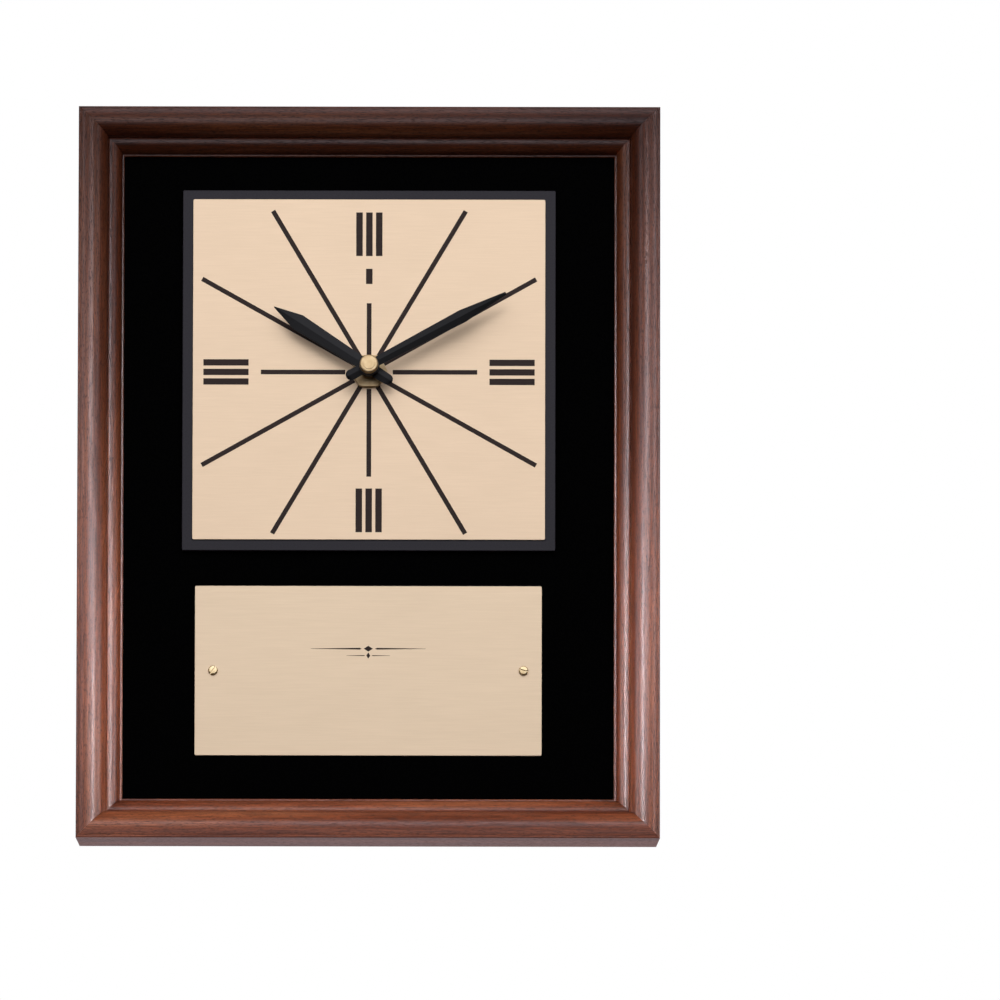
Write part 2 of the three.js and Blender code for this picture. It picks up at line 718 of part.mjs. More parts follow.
for (const side of [-1, 1]) {
  const x = side * (FRAME_WIDTH / 2 - BUMPER_INSET);
  const z = -FRAME_HEIGHT / 2 + WALL_INSET / 2;
  add(frame, `wall_bumper_${side < 0 ? "left" : "right"}`, bumper(), RUBBER, { x, z });
}

// Clock plates, clamped by the nut on the bushing

const plateHole = () => rod(BUSHING_RADIUS + BUSHING_CLEAR, 0, -CUTTER_LENGTH);
const basePlate = plate(
  roundedRectangle(BASE_PLATE_SIZE, BASE_PLATE_SIZE, PLATE_CORNER),
  BASE_BACK,
  BASE_FRONT,
).translate(0, 0, SHAFT_DROP - BASE_PLATE_DROP);
add(clock, "clock_base_plate", cut(basePlate, plateHole()), BLACK_PLATE);

const dialLift = SHAFT_DROP - BASE_PLATE_DROP + DIAL_LIFT;
const dialPlate = plate(roundedRectangle(DIAL_SIZE, DIAL_SIZE, PLATE_CORNER), DIAL_BACK, DIAL_FRONT);
add(clock, "dial_plate", cut(dialPlate.translate(0, 0, dialLift), plateHole()), BRASS);

const washerFront = DIAL_FRONT - SEAT - WASHER_THICK;
add(
  clock,
  "bushing_washer",
  tube(WASHER_RADIUS, BUSHING_RADIUS + BUSHING_CLEAR, DIAL_FRONT - SEAT, washerFront),
  SCREW_BRASS,
);

function hexNut() {
  const corner = NUT_ACROSS_FLATS / Math.sqrt(3);
  const back = washerFront - SEAT;
  const prism = rod(corner, back, NUT_FRONT, 6);
  const rounding = turned([
    [0, NUT_FRONT],
    [NUT_ACROSS_FLATS / 2, NUT_FRONT],
    [corner + INTO, NUT_FRONT + NUT_CHAMFER],
    [corner + INTO, back],
    [0, back],
  ]);
  const body = solid(prism).intersect(solid(rounding));
  return geometryOf(body.subtract(solid(plateHole())));
}
add(clock, "bushing_nut", hexNut(), SCREW_BRASS);

const bushing = turned(
  [
    [BUSHING_BORE, BUSHING_FRONT],
    [BUSHING_RADIUS - BUSHING_CHAMFER, BUSHING_FRONT],
    [BUSHING_RADIUS, BUSHING_FRONT + BUSHING_CHAMFER],
    [BUSHING_RADIUS, depth(CASE_FRONT_WALL + SEAT)],
    [BUSHING_FLANGE, depth(CASE_FRONT_WALL + SEAT)],
    [BUSHING_FLANGE, depth(CASE_FRONT_WALL + SEAT + BUSHING_FLANGE_THICK)],
    [BUSHING_BORE, depth(CASE_FRONT_WALL + SEAT + BUSHING_FLANGE_THICK)],
  ],
  ROUND_SIDES,
  true,
);
add(clock, "threaded_bushing", bushing, SCREW_BRASS);

// Where the arbors stand, in the plane of the dial

const pairDistance = (module, wheel, pinion) => (module * (wheel + pinion)) / 2;
const shaft = { x: 0, z: 0 };
const minuteWheelAt = beside(
  shaft,
  pairDistance(MOTION_MODULE, MINUTE_WHEEL_TEETH, CANNON_TEETH),
  MINUTE_WHEEL_AT,
);
const thirdAt = beside(shaft, pairDistance(CENTRE_MODULE, CENTRE_TEETH, LEAVES), THIRD_WHEEL_AT);
const fourthAt = beside(thirdAt, pairDistance(THIRD_MODULE, THIRD_TEETH, LEAVES), FOURTH_WHEEL_AT);
const fifthAt = beside(fourthAt, pairDistance(FOURTH_MODULE, FOURTH_TEETH, LEAVES), FIFTH_WHEEL_AT);
const rotorAt = beside(fifthAt, pairDistance(FIFTH_MODULE, FIFTH_TEETH, LEAVES), ROTOR_AT);

// A toothed outline; the first tooth points at the given angle.
function toothed(teeth, module, firstTooth) {
  const pitchRadius = (module * teeth) / 2;
  const tip = pitchRadius + ADDENDUM * module;
  const root = pitchRadius - DEDENDUM * module;
  const step = (2 * Math.PI) / teeth;
  const outline = new THREE.Shape();
  for (let tooth = 0; tooth < teeth; tooth++) {
    const corners = [
      [root, -ROOT_SHARE],
      [tip, -TIP_SHARE],
      [tip, TIP_SHARE],
      [root, ROOT_SHARE],
    ];
    for (const [radius, share] of corners) {
      const angle = degrees(firstTooth) + (tooth + share) * step;
      const x = radius * Math.cos(angle);
      const y = radius * Math.sin(angle);
      if (outline.curves.length === 0 && outline.currentPoint.length() === 0) outline.moveTo(x, y);
      else outline.lineTo(x, y);
    }
  }
  return outline;
}

// The angle of a pinion's first tooth so that it stands in mesh with a wheel whose first tooth is known.
function inMesh(wheelTooth, wheelTeeth, pinionTeeth, direction) {
  const wheelStep = 360 / wheelTeeth;
  const pinionStep = 360 / pinionTeeth;
  const wheelShare = (direction - wheelTooth) / wheelStep;
  return direction + 180 - (0.5 - wheelShare) * pinionStep;
}

const gear = (teeth, module, firstTooth, front, thick = WHEEL_THICK) =>
  plate(toothed(teeth, module, firstTooth), depth(front + thick), depth(front));

const pinion = (teeth, module, firstTooth, layer) =>
  gear(teeth, module, firstTooth, layer - PINION_OVERHANG, WHEEL_THICK + 2 * PINION_OVERHANG);

// An arbor with a thin pivot at each end.
const arbor = (radius, front, back, pivotFront, pivotBack) =>
  turned(
    [
      [0, depth(pivotFront)],
      [PIVOT_RADIUS, depth(pivotFront)],
      [PIVOT_RADIUS, depth(front)],
      [radius, depth(front)],
      [radius, depth(back)],
      [PIVOT_RADIUS, depth(back)],
      [PIVOT_RADIUS, depth(pivotBack)],
      [0, depth(pivotBack)],
    ],
    SMALL_SIDES,
  );

// The bosses on the case that carry the arbors: each ends just short of the first teeth
const motorMiddle = MOTOR_LAYER + MOTOR_THICK / 2;
const rotorFront = motorMiddle - ROTOR_THICK / 2;
const bosses = [
  { at: minuteWheelAt, top: HOUR_LAYER - PINION_OVERHANG - BOSS_AIR },
  { at: thirdAt, top: CENTRE_LAYER - PINION_OVERHANG - BOSS_AIR },
  { at: fourthAt, top: THIRD_LAYER - PINION_OVERHANG - BOSS_AIR },
  { at: fifthAt, top: FOURTH_LAYER - PINION_OVERHANG - BOSS_AIR },
  { at: rotorAt, top: rotorFront - BOSS_AIR },
];
const rearPivot = REAR_BOSS_DEPTH + PIVOT_DEPTH;
const pivotHole = (back, front) => rod(PIVOT_RADIUS + PIVOT_CLEAR, depth(back), depth(front), SMALL_SIDES);

// Movement case

function frontCase() {
  const rim = CASE_DEPTH - COVER_THICK - SEAT;
  const shell = plate(roundedRectangle(CASE_SIZE, CASE_SIZE, CASE_CORNER), depth(rim), depth(0));
  const room = CASE_SIZE - 2 * CASE_WALL;
  const hollow = plate(
    roundedRectangle(room, room, CASE_CORNER - CASE_WALL),
    depth(rim + PAST),
    depth(CASE_FRONT_WALL),
  );
  const half = room / 2;
  const root = CASE_FRONT_WALL - INTO; // where what stands on the front wall starts
  const ribBottom = BAY_RIB_TOP - BAY_RIB_THICK;
  const bay = block(-half, half, depth(BAY_WALL), depth(rim + PAST), -half, ribBottom);
  const ribBack = depth(rim - BAY_RIB_CLEAR);
  const rib = block(-half - INTO, half + INTO, depth(root), ribBack, ribBottom, BAY_RIB_TOP);
  const post = (top, { x, z }) => rod(BOSS_RADIUS, depth(top), depth(root), SMALL_SIDES).translate(x, 0, z);
  const posts = bosses.map(({ at, top }) => post(top, at));
  const circuitSupports = circuitPosts.map((at) => post(CIRCUIT_LAYER - SEAT, at));
  const holes = bosses.map(({ at, top }) =>
    pivotHole(top + PAST, top - PIVOT_DEPTH).translate(at.x, 0, at.z),
  );
  const tray = join(cut(shell, hollow, bay), rib, ...posts, ...circuitSupports);
  const bushingHole = rod(BUSHING_RADIUS + BUSHING_CASE_CLEAR, depth(CASE_FRONT_WALL + PAST), depth(-PAST));
  return cut(tray, ...holes, bushingHole);
}

function rearCover() {
  const front = CASE_DEPTH - COVER_THICK;
  const back = CASE_DEPTH + PAST;
  const root = front + INTO; // where what stands on the cover starts
  const lid = plate(roundedRectangle(CASE_SIZE, CASE_SIZE, CASE_CORNER), depth(CASE_DEPTH), depth(front));
  const atKnob = (geometry) => geometry.translate(minuteWheelAt.x, 0, minuteWheelAt.z);
  const floor = CASE_DEPTH - WELL_DEPTH - WELL_FLOOR;
  const well = atKnob(rod(WELL_RADIUS + WELL_WALL, depth(root), depth(floor)));
  const wellRoom = atKnob(rod(WELL_RADIUS, depth(back), depth(floor + WELL_FLOOR)));
  const boreRadius = KNOB_ARBOR_RADIUS + PIVOT_CLEAR;
  const wellHole = atKnob(rod(boreRadius, depth(back), depth(floor - PAST), SMALL_SIDES));
  const carried = [thirdAt, fourthAt, fifthAt, rotorAt];
  const posts = carried.map((at) =>
    rod(BOSS_RADIUS, depth(root), depth(REAR_BOSS_DEPTH), SMALL_SIDES).translate(at.x, 0, at.z),
  );
  const holes = carried.map((at) =>
    pivotHole(rearPivot + END_SHAKE, REAR_BOSS_DEPTH - PAST).translate(at.x, 0, at.z),
  );
  const centrePost = rod(CENTRE_POST_RADIUS, depth(root), depth(CENTRE_POST_FRONT), SMALL_SIDES);
  const centreHole = pivotHole(rearPivot, CENTRE_POST_FRONT - PAST);
  const windowHalf = BATTERY_LENGTH / 2 + WINDOW_END_CLEAR;
  const windowRise = BATTERY_RADIUS + WINDOW_CLEAR;
  const window = block(
    -windowHalf,
    windowHalf,
    depth(front - PAST),
    depth(back),
    -BATTERY_DROP - windowRise,
    -BATTERY_DROP + windowRise,
  );
  const thumb = rod(THUMB_RADIUS, depth(back), depth(front - PAST));
  thumb.translate(0, 0, THUMB_RISE - BATTERY_DROP);
  return cut(join(lid, well, centrePost, ...posts), wellRoom, wellHole, centreHole, window, thumb, ...holes);
}

const circuitPosts = [-1, 1].map((end) => ({
  x: CIRCUIT_AT.x,
  z: CIRCUIT_AT.z + (end * CIRCUIT_HEIGHT) / 3,
}));

add(clock, "movement_front_case", frontCase(), CASE_PLASTIC);
add(clock, "movement_rear_cover", rearCover(), CASE_PLASTIC);

// Battery and its contacts

const batteryMiddle = depth(BAY_WALL + BATTERY_CLEAR + BATTERY_RADIUS);
const batteryEnd = BATTERY_LENGTH / 2;
const battery = turned([
  [0, -batteryEnd],
  [BATTERY_RADIUS - BATTERY_CHAMFER, -batteryEnd],
  [BATTERY_RADIUS, BATTERY_CHAMFER - batteryEnd],
  [BATTERY_RADIUS, batteryEnd - BATTERY_CHAMFER],
  [BATTERY_RADIUS - BATTERY_CHAMFER, batteryEnd],
  [BATTERY_BUTTON_RADIUS, batteryEnd],
  [BATTERY_BUTTON_RADIUS, batteryEnd + BATTERY_BUTTON_LENGTH],
  [0, batteryEnd + BATTERY_BUTTON_LENGTH],
]).rotateZ(-Math.PI / 2);
add(clock, "battery_aa", battery, CELL_JACKET, { y: batteryMiddle, z: -BATTERY_DROP });

// A battery contact: a sheet-metal leaf against the end wall, folded over towards the cell.
function contact(reach) {
  const half = CONTACT_HEIGHT / 2;
  const side = new THREE.Shape();
  side.moveTo(0, -half);
  side.lineTo(0, half);
  side.lineTo(CONTACT_THICK, half);
  side.lineTo(CONTACT_THICK, CONTACT_FOLD / 2);
  side.lineTo(reach, CONTACT_TIP / 2);
  side.lineTo(reach, -CONTACT_TIP / 2);
  side.lineTo(CONTACT_THICK, -CONTACT_FOLD / 2);
  side.lineTo(CONTACT_THICK, -half);
  const leaf = new THREE.ExtrudeGeometry(side, { depth: CONTACT_WIDTH, bevelEnabled: false });
  return leaf.translate(0, 0, -CONTACT_WIDTH / 2);
}

const bayEnd = CASE_SIZE / 2 - CASE_WALL;
const contactPlace = { y: batteryMiddle, z: -BATTERY_DROP };
add(clock, "battery_contact_negative", contact(bayEnd - batteryEnd - CONTACT_CLEAR), STEEL, {
  ...contactPlace,
  x: CONTACT_SEAT - bayEnd,
});
add(clock, "battery_contact_positive", contact(CONTACT_THICK + CONTACT_DIMPLE), STEEL, {
  ...contactPlace,
  x: bayEnd - CONTACT_SEAT,
  turn: Math.PI,
});

// Electronics and stepping motor

const circuitBack = CIRCUIT_LAYER + CIRCUIT_THICK;
const circuitBoard = plate(
  roundedRectangle(CIRCUIT_WIDTH, CIRCUIT_HEIGHT, CIRCUIT_CORNER),
  depth(circuitBack),
  depth(CIRCUIT_LAYER),
  2,
);
const chip = rod(CHIP_RADIUS, depth(circuitBack + CHIP_THICK), depth(circuitBack - INTO), SMALL_SIDES);
add(clock, "circuit_board", join(circuitBoard, chip.translate(0, 0, CHIP_RISE)), BOARD_GREEN, CIRCUIT_AT);

const crystal = turned(
  [
    [0, -CRYSTAL_LENGTH / 2],
    [CRYSTAL_RADIUS, CRYSTAL_END - CRYSTAL_LENGTH / 2],
    [CRYSTAL_RADIUS, CRYSTAL_LENGTH / 2 - CRYSTAL_END],
    [0, CRYSTAL_LENGTH / 2],
  ],
  SMALL_SIDES,
).rotateX(Math.PI / 2);
add(clock, "quartz_crystal", crystal, STEEL, {
  x: CIRCUIT_AT.x,
  y: depth(circuitBack + CRYSTAL_RADIUS + SEAT),
  z: CIRCUIT_AT.z - CRYSTAL_LENGTH,
});

const coilMiddle = { x: COIL_AT, y: depth(motorMiddle), z: rotorAt.z };
const coilHalf = COIL_LENGTH / 2;
const windingEnd = coilHalf - COIL_FLANGE;
const windingRadius = COIL_RADIUS - COIL_WINDING_DROP;
const coil = turned([
  [0, -coilHalf],
  [COIL_RADIUS, -coilHalf],
  [COIL_RADIUS, -windingEnd],
  [windingRadius, -windingEnd],
  [windingRadius, windingEnd],
  [COIL_RADIUS, windingEnd],
  [COIL_RADIUS, coilHalf],
  [0, coilHalf],
]).rotateZ(Math.PI / 2);
add(clock, "coil", coil, COPPER, coilMiddle);

// The stator runs from one end of the coil, under it and round the rotor, to the other end.
function stator() {
  const left = coilMiddle.x - coilHalf - STATOR_COIL_AIR;
  const right = coilMiddle.x + coilHalf + STATOR_COIL_AIR;
  const arm = STATOR_ARM;
  const below = -COIL_RADIUS - STATOR_BELOW;
  const ring = ROTOR_RADIUS + STATOR_AIR + STATOR_RIM;
  const neck = rotorAt.x - ring;
  const outline = new THREE.Shape();
  outline.moveTo(left, arm / 2);
  outline.lineTo(left - arm, arm / 2);
  outline.lineTo(left - arm, below - arm);
  outline.lineTo(rotorAt.x - ROTOR_RADIUS, below - arm);
  outline.absarc(rotorAt.x, 0, ring, degrees(STATOR_RING_FROM), degrees(STATOR_RING_TO), false);
  outline.lineTo(right, arm / 2);
  outline.lineTo(right, -arm / 2);
  outline.lineTo(neck, -arm / 2);
  outline.lineTo(neck, below);
  outline.lineTo(left, below);
  const hole = new THREE.Path();
  hole.absarc(rotorAt.x, 0, ROTOR_RADIUS + STATOR_AIR, 0, 2 * Math.PI, true);
  outline.holes.push(hole);
  return plate(outline, depth(MOTOR_LAYER + MOTOR_THICK), depth(MOTOR_LAYER), STATOR_STEPS);
}
add(clock, "stator", stator(), STEEL, { z: rotorAt.z });

// Going train: every wheel stands in mesh with its neighbours

const centreTooth = 0;
const thirdPinionTooth = inMesh(centreTooth, CENTRE_TEETH, LEAVES, THIRD_WHEEL_AT);
const fourthPinionTooth = inMesh(0, THIRD_TEETH, LEAVES, FOURTH_WHEEL_AT);
const fifthPinionTooth = inMesh(0, FOURTH_TEETH, LEAVES, FIFTH_WHEEL_AT);
const rotorPinionTooth = inMesh(0, FIFTH_TEETH, LEAVES, ROTOR_AT);

const throughBore = () => rod(HOUR_TUBE_BORE + INTO, CUTTER_LENGTH, -CUTTER_LENGTH);
const centreWheel = join(
  cut(gear(CENTRE_TEETH, CENTRE_MODULE, centreTooth, CENTRE_LAYER), throughBore()),
  tube(CENTRE_HUB_RADIUS, HOUR_TUBE_BORE, depth(CENTRE_LAYER + CENTRE_HUB_LENGTH), depth(CENTRE_LAYER)),
);
add(clock, "centre_wheel", centreWheel, WHEEL_PLASTIC);

// A wheel and the pinion that drives it on one arbor, with a hub between them.
function trainWheel(wheel, leaves, hubFront, hubBack, boss) {
  return join(
    wheel,
    leaves,
    arbor(
      TRAIN_ARBOR_RADIUS,
      boss.top + END_SHAKE,
      REAR_BOSS_DEPTH - END_SHAKE,
      boss.top - PIVOT_DEPTH + END_SHAKE,
      rearPivot - END_SHAKE,
    ),
    rod(TRAIN_HUB_RADIUS, depth(hubBack), depth(hubFront), SMALL_SIDES),
  );
}

const pinionEnd = (layer) => layer + WHEEL_THICK + PINION_OVERHANG;
const [minuteBoss, thirdBoss, fourthBoss, fifthBoss, rotorBoss] = bosses;

const thirdWheel = trainWheel(
  gear(THIRD_TEETH, THIRD_MODULE, 0, THIRD_LAYER),
  pinion(LEAVES, CENTRE_MODULE, thirdPinionTooth, CENTRE_LAYER),
  pinionEnd(CENTRE_LAYER),
  THIRD_LAYER + INTO,
  thirdBoss,
);
add(clock, "third_wheel", thirdWheel, WHEEL_PLASTIC, thirdAt);

const fourthWheel = trainWheel(
  gear(FOURTH_TEETH, FOURTH_MODULE, 0, FOURTH_LAYER),
  pinion(LEAVES, THIRD_MODULE, fourthPinionTooth, THIRD_LAYER),
  pinionEnd(THIRD_LAYER),
  FOURTH_LAYER + INTO,
  fourthBoss,
);
add(clock, "fourth_wheel", fourthWheel, WHEEL_PLASTIC, fourthAt);

const fifthWheel = trainWheel(
  gear(FIFTH_TEETH, FIFTH_MODULE, 0, FIFTH_LAYER),
  pinion(LEAVES, FOURTH_MODULE, fifthPinionTooth, FOURTH_LAYER),
  pinionEnd(FOURTH_LAYER),
  FIFTH_LAYER + INTO,
  fifthBoss,
);
add(clock, "fifth_wheel", fifthWheel, WHEEL_PLASTIC, fifthAt);

const rotor = trainWheel(
  rod(ROTOR_RADIUS, depth(rotorFront + ROTOR_THICK), depth(rotorFront)),
  pinion(LEAVES, FIFTH_MODULE, rotorPinionTooth, FIFTH_LAYER),
  motorMiddle,
  FIFTH_LAYER - PINION_OVERHANG,
  rotorBoss,
);
add(clock, "rotor", rotor, STEEL, rotorAt);

// Motion work: cannon pinion on the minute arbor, minute wheel with its pinion, hour wheel on its tube

const cannonTooth = 0;
const minuteWheelTooth = inMesh(cannonTooth, CANNON_TEETH, MINUTE_WHEEL_TEETH, MINUTE_WHEEL_AT);
const hourTooth = 0;
const minutePinionTooth = inMesh(hourTooth, HOUR_WHEEL_TEETH, MINUTE_PINION_TEETH, MINUTE_WHEEL_AT);

const minuteHandBack = DIAL_FRONT - MINUTE_HAND_LIFT;
const capBack = minuteHandBack - MINUTE_HAND_THICK - MINUTE_HUB_PROUD - SEAT;
const capFront = capBack - CAP_HEIGHT;
const arborFront = capFront + CAP_FACE + HAND_BORE_CLEAR;
const arborShoulder = depth(CENTRE_POST_FRONT - CENTRE_SHAKE);
const minuteArbor = join(
  turned([
    [0, arborFront],
    [ARBOR_RADIUS, arborFront],
    [ARBOR_RADIUS, arborShoulder],
    [PIVOT_RADIUS, arborShoulder],
    [PIVOT_RADIUS, depth(rearPivot - 2 * END_SHAKE)],
    [0, depth(rearPivot - 2 * END_SHAKE)],
  ]),
  pinion(CANNON_TEETH, MOTION_MODULE, cannonTooth, MINUTE_LAYER),
);
add(clock, "minute_arbor", minuteArbor, SCREW_BRASS);

const knobFront = CASE_DEPTH - WELL_DEPTH + KNOB_CLEAR;
const minutePivot = minuteBoss.top - PIVOT_DEPTH + END_SHAKE;
const minuteWheel = join(
  gear(MINUTE_WHEEL_TEETH, MOTION_MODULE, minuteWheelTooth, MINUTE_LAYER),
  pinion(MINUTE_PINION_TEETH, HOUR_MODULE, minutePinionTooth, HOUR_LAYER),
  rod(MINUTE_HUB_WIDTH / 2, depth(MINUTE_LAYER + INTO), depth(HOUR_LAYER), SMALL_SIDES),
  turned(
    [
      [0, depth(minutePivot)],
      [PIVOT_RADIUS, depth(minutePivot)],
      [PIVOT_RADIUS, depth(HOUR_LAYER)],
      [KNOB_ARBOR_RADIUS, depth(HOUR_LAYER)],
      [KNOB_ARBOR_RADIUS, depth(knobFront + KNOB_BORE_DEPTH)],
      [0, depth(knobFront + KNOB_BORE_DEPTH)],
    ],
    SMALL_SIDES,
  ),
);
add(clock, "minute_wheel", minuteWheel, WHEEL_PLASTIC, minuteWheelAt);

// A ribbed knob with a slot across it, pressed on the minute wheel's arbor.
function settingKnob() {
  const outline = new THREE.Shape();
  for (let i = 0; i < 2 * KNOB_RIBS; i++) {
    const radius = KNOB_RADIUS - (i % 2) * KNOB_RIB_DEPTH;
    const angle = (i * Math.PI) / KNOB_RIBS;
    const x = radius * Math.cos(angle);
    const y = radius * Math.sin(angle);
    if (i === 0) outline.moveTo(x, y);
    else outline.lineTo(x, y);
  }
  const back = depth(knobFront + KNOB_THICK);
  const reach = KNOB_RADIUS + PAST;
  const slot = block(-reach, reach, back - KNOB_SLOT_DEPTH, back + PAST, -KNOB_SLOT / 2, KNOB_SLOT / 2);
  const boreEnd = depth(knobFront + KNOB_BORE_DEPTH + KNOB_BORE_CLEAR);
  const bore = rod(KNOB_ARBOR_RADIUS + KNOB_BORE_CLEAR, boreEnd, depth(knobFront - PAST), SMALL_SIDES);
  return cut(plate(outline, back, depth(knobFront)), slot, bore);
}
add(clock, "setting_knob", settingKnob(), WHEEL_PLASTIC, minuteWheelAt);

const hourHandBack = DIAL_FRONT - HOUR_HAND_LIFT;
const hourTubeFront = hourHandBack - HOUR_HAND_THICK - HOUR_TUBE_PROUD;
const hourWheel = join(
  cut(gear(HOUR_WHEEL_TEETH, HOUR_MODULE, hourTooth, HOUR_LAYER), throughBore()),
  tube(HOUR_TUBE_RADIUS, HOUR_TUBE_BORE, depth(HOUR_LAYER + WHEEL_THICK), hourTubeFront),
);
add(clock, "hour_wheel", hourWheel, WHEEL_PLASTIC);

// Hands: bars with a flat back and a crowned face, round at the tail

function handRing(distance, width, back, thick) {
  const half = width / 2;
  const edge = thick * HAND_EDGE;
  const ring = [];
  for (let i = 0; i <= CROWN_STEPS; i++) {
    const side = Math.cos((Math.PI * i) / CROWN_STEPS);
    const crown = edge + (thick - edge) * Math.sqrt(1 - side * side);
    ring.push(new THREE.Vector3(half * side, back - crown, distance));
  }
  ring.push(new THREE.Vector3(-half, back, distance), new THREE.Vector3(half, back, distance));
  return ring;
}

function handBlade(widths, back, thick) {
  const [tail, tailWidth] = widths[0];
  const rings = [];
  for (let i = TAIL_STEPS; i >= 1; i--) {
    const angle = (Math.PI / 2) * (i / TAIL_STEPS) * TAIL_END;
    const reach = (tailWidth / 2) * Math.sin(angle);
    rings.push(handRing(tail + tailWidth / 2 - reach, tailWidth * Math.cos(angle), back, thick));
  }
  rings.push(handRing(tail + tailWidth / 2, tailWidth, back, thick));
  for (const [distance, width] of widths.slice(1)) rings.push(handRing(distance, width, back, thick));
  return loft(rings);
}

const hourHand = cut(
  join(
    handBlade(HOUR_HAND_WIDTHS, hourHandBack, HOUR_HAND_THICK),
    rod(HOUR_HUB_RADIUS, hourHandBack, hourHandBack - HOUR_HAND_THICK - HOUR_HUB_PROUD),
  ),
  rod(HOUR_TUBE_RADIUS + HAND_BORE_CLEAR, 0, -CUTTER_LENGTH),
);
add(clock, "hour_hand", hourHand, HAND_BLACK, { turn: degrees(HOUR_ANGLE) });

const minuteHand = cut(
  join(
    handBlade(MINUTE_HAND_WIDTHS, minuteHandBack, MINUTE_HAND_THICK),
    rod(MINUTE_HUB_RADIUS, minuteHandBack, minuteHandBack - MINUTE_HAND_THICK - MINUTE_HUB_PROUD),
  ),
  rod(ARBOR_RADIUS + HAND_BORE_CLEAR, 0, -CUTTER_LENGTH),
);
add(clock, "minute_hand", minuteHand, HAND_BLACK, { turn: degrees(MINUTE_ANGLE) });

const capNut = turned(
  [
    [0, capFront],
    ...roundedEdge(CAP_RADIUS, capFront, CAP_ROUND),
    [CAP_RADIUS, capBack],
    [ARBOR_RADIUS + HAND_BORE_CLEAR, capBack],
    [ARBOR_RADIUS + HAND_BORE_CLEAR, capFront + CAP_FACE],
    [0, capFront + CAP_FACE],
  ],
  FINE_SIDES,
);
add(clock, "cap_nut", capNut, SCREW_BRASS);

export default plaque;
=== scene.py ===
"""The looks of a wall plaque: a walnut frame round black velour, a square brass clock and a brass plate."""

import json
import math

import bmesh
import bpy
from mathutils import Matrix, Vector

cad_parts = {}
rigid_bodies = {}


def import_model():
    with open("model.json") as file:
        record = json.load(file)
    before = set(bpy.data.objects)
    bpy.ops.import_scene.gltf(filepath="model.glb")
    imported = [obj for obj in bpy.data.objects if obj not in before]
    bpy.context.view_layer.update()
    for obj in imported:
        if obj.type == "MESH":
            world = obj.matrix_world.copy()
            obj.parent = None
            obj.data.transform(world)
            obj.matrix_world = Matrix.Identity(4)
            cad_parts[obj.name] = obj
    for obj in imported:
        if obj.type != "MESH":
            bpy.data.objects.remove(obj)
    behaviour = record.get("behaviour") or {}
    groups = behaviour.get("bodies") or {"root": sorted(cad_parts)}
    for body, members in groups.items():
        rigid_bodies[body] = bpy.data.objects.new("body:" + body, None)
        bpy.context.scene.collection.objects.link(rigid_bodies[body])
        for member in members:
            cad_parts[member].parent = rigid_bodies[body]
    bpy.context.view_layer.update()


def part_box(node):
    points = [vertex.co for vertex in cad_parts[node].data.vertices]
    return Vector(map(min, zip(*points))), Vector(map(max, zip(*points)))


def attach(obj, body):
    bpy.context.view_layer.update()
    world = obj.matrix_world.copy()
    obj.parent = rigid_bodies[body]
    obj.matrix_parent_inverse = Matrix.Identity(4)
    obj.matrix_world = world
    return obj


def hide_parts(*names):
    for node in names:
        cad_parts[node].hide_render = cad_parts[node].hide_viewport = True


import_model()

MM = 0.001  # most lengths below are in millimetres
FRONT = Vector((0, -1, 0))
ACROSS = Vector((1, 0, 0))
UP = Vector((0, 0, 1))

# The walnut moulding: insets from the outer edge, heights from the back of the frame
EDGE_HEIGHT = 25.4
EDGE_ROUND = 1.0
BACK_TAPER = 1.8
CREST_INSET = 7.0
CREST_HEIGHT = 27.0
CREASE_INSET = 15.0
CREASE_HEIGHT = 18.8
BEAD_INSET = 16.4
BEAD_HEIGHT = 19.4
LIP_INSET = 22.2
LIP_HEIGHT = 12.8
LIP_CHAMFER = 0.4
SIGHT_INSET = 23.3
RABBET_INSET = 17.0
RABBET_HEIGHT = 11.4
MITRE_LINE = 0.04
MOULDING_STEPS = 18
GRAIN_ACROSS = (0, 0, 0)
GRAIN_UPRIGHT = (0, math.pi / 2, 0)

# Velour panel
CLOCK_CUTOUT = 58.0
VELOUR_CELLS = (26, 35)

# Plates
PLATE_CORNER = 0.8
BASE_PLATE_EDGE = 0.35
BRASS_PLATE_EDGE = 0.12
SHAFT_HOLE = 4.2
SCREW_HOLE = 1.3

# Ink on the dial: reaches are counted out from the shaft
INK_THICK = 0.03
MARK_REACH = 83.9
BAR_WIDTH = 3.3
BAR_START = 61.0
BAR_SPACING = 5.0
LINE_WIDTH = 2.4
LINE_START = 12.0
LINE_END = 54.8
UPRIGHT_LINE_START = 8.8
TWELVE_LINE_END = 36.2
TWELVE_BLOCK = (46.3, 54.3)
RAY_START = 8.7
RAY_END = 97.7
RAY_ANGLES = (30, 60, 120, 150, 210, 240, 300, 330)

# Divider engraved on the lower plate
RULE_RISE = 11.5
RULE_REACH = 29.0
RULE_START = 3.4
RULE_WIDTH = 0.9
RULE_TIP = 0.12
LOZENGE = (2.3, 1.5)
DROP_LOZENGE = (1.0, 1.6)
DROP_BELOW = 3.6
SHORT_RULE_REACH = 11.0

# Screws of the engraved plate
SCREW_RADIUS = 2.4
SCREW_EDGE = 0.5
SCREW_CROWN = (1.6, 1.4)
SCREW_HEIGHT = 1.5
SCREW_SLOT = 0.7
SCREW_SLOT_DEPTH = 0.9
SCREW_TURNS = (35, 105)
SCREW_SHANK = 1.1
SCREW_POINT = 1.5
SCREW_STEPS = 8

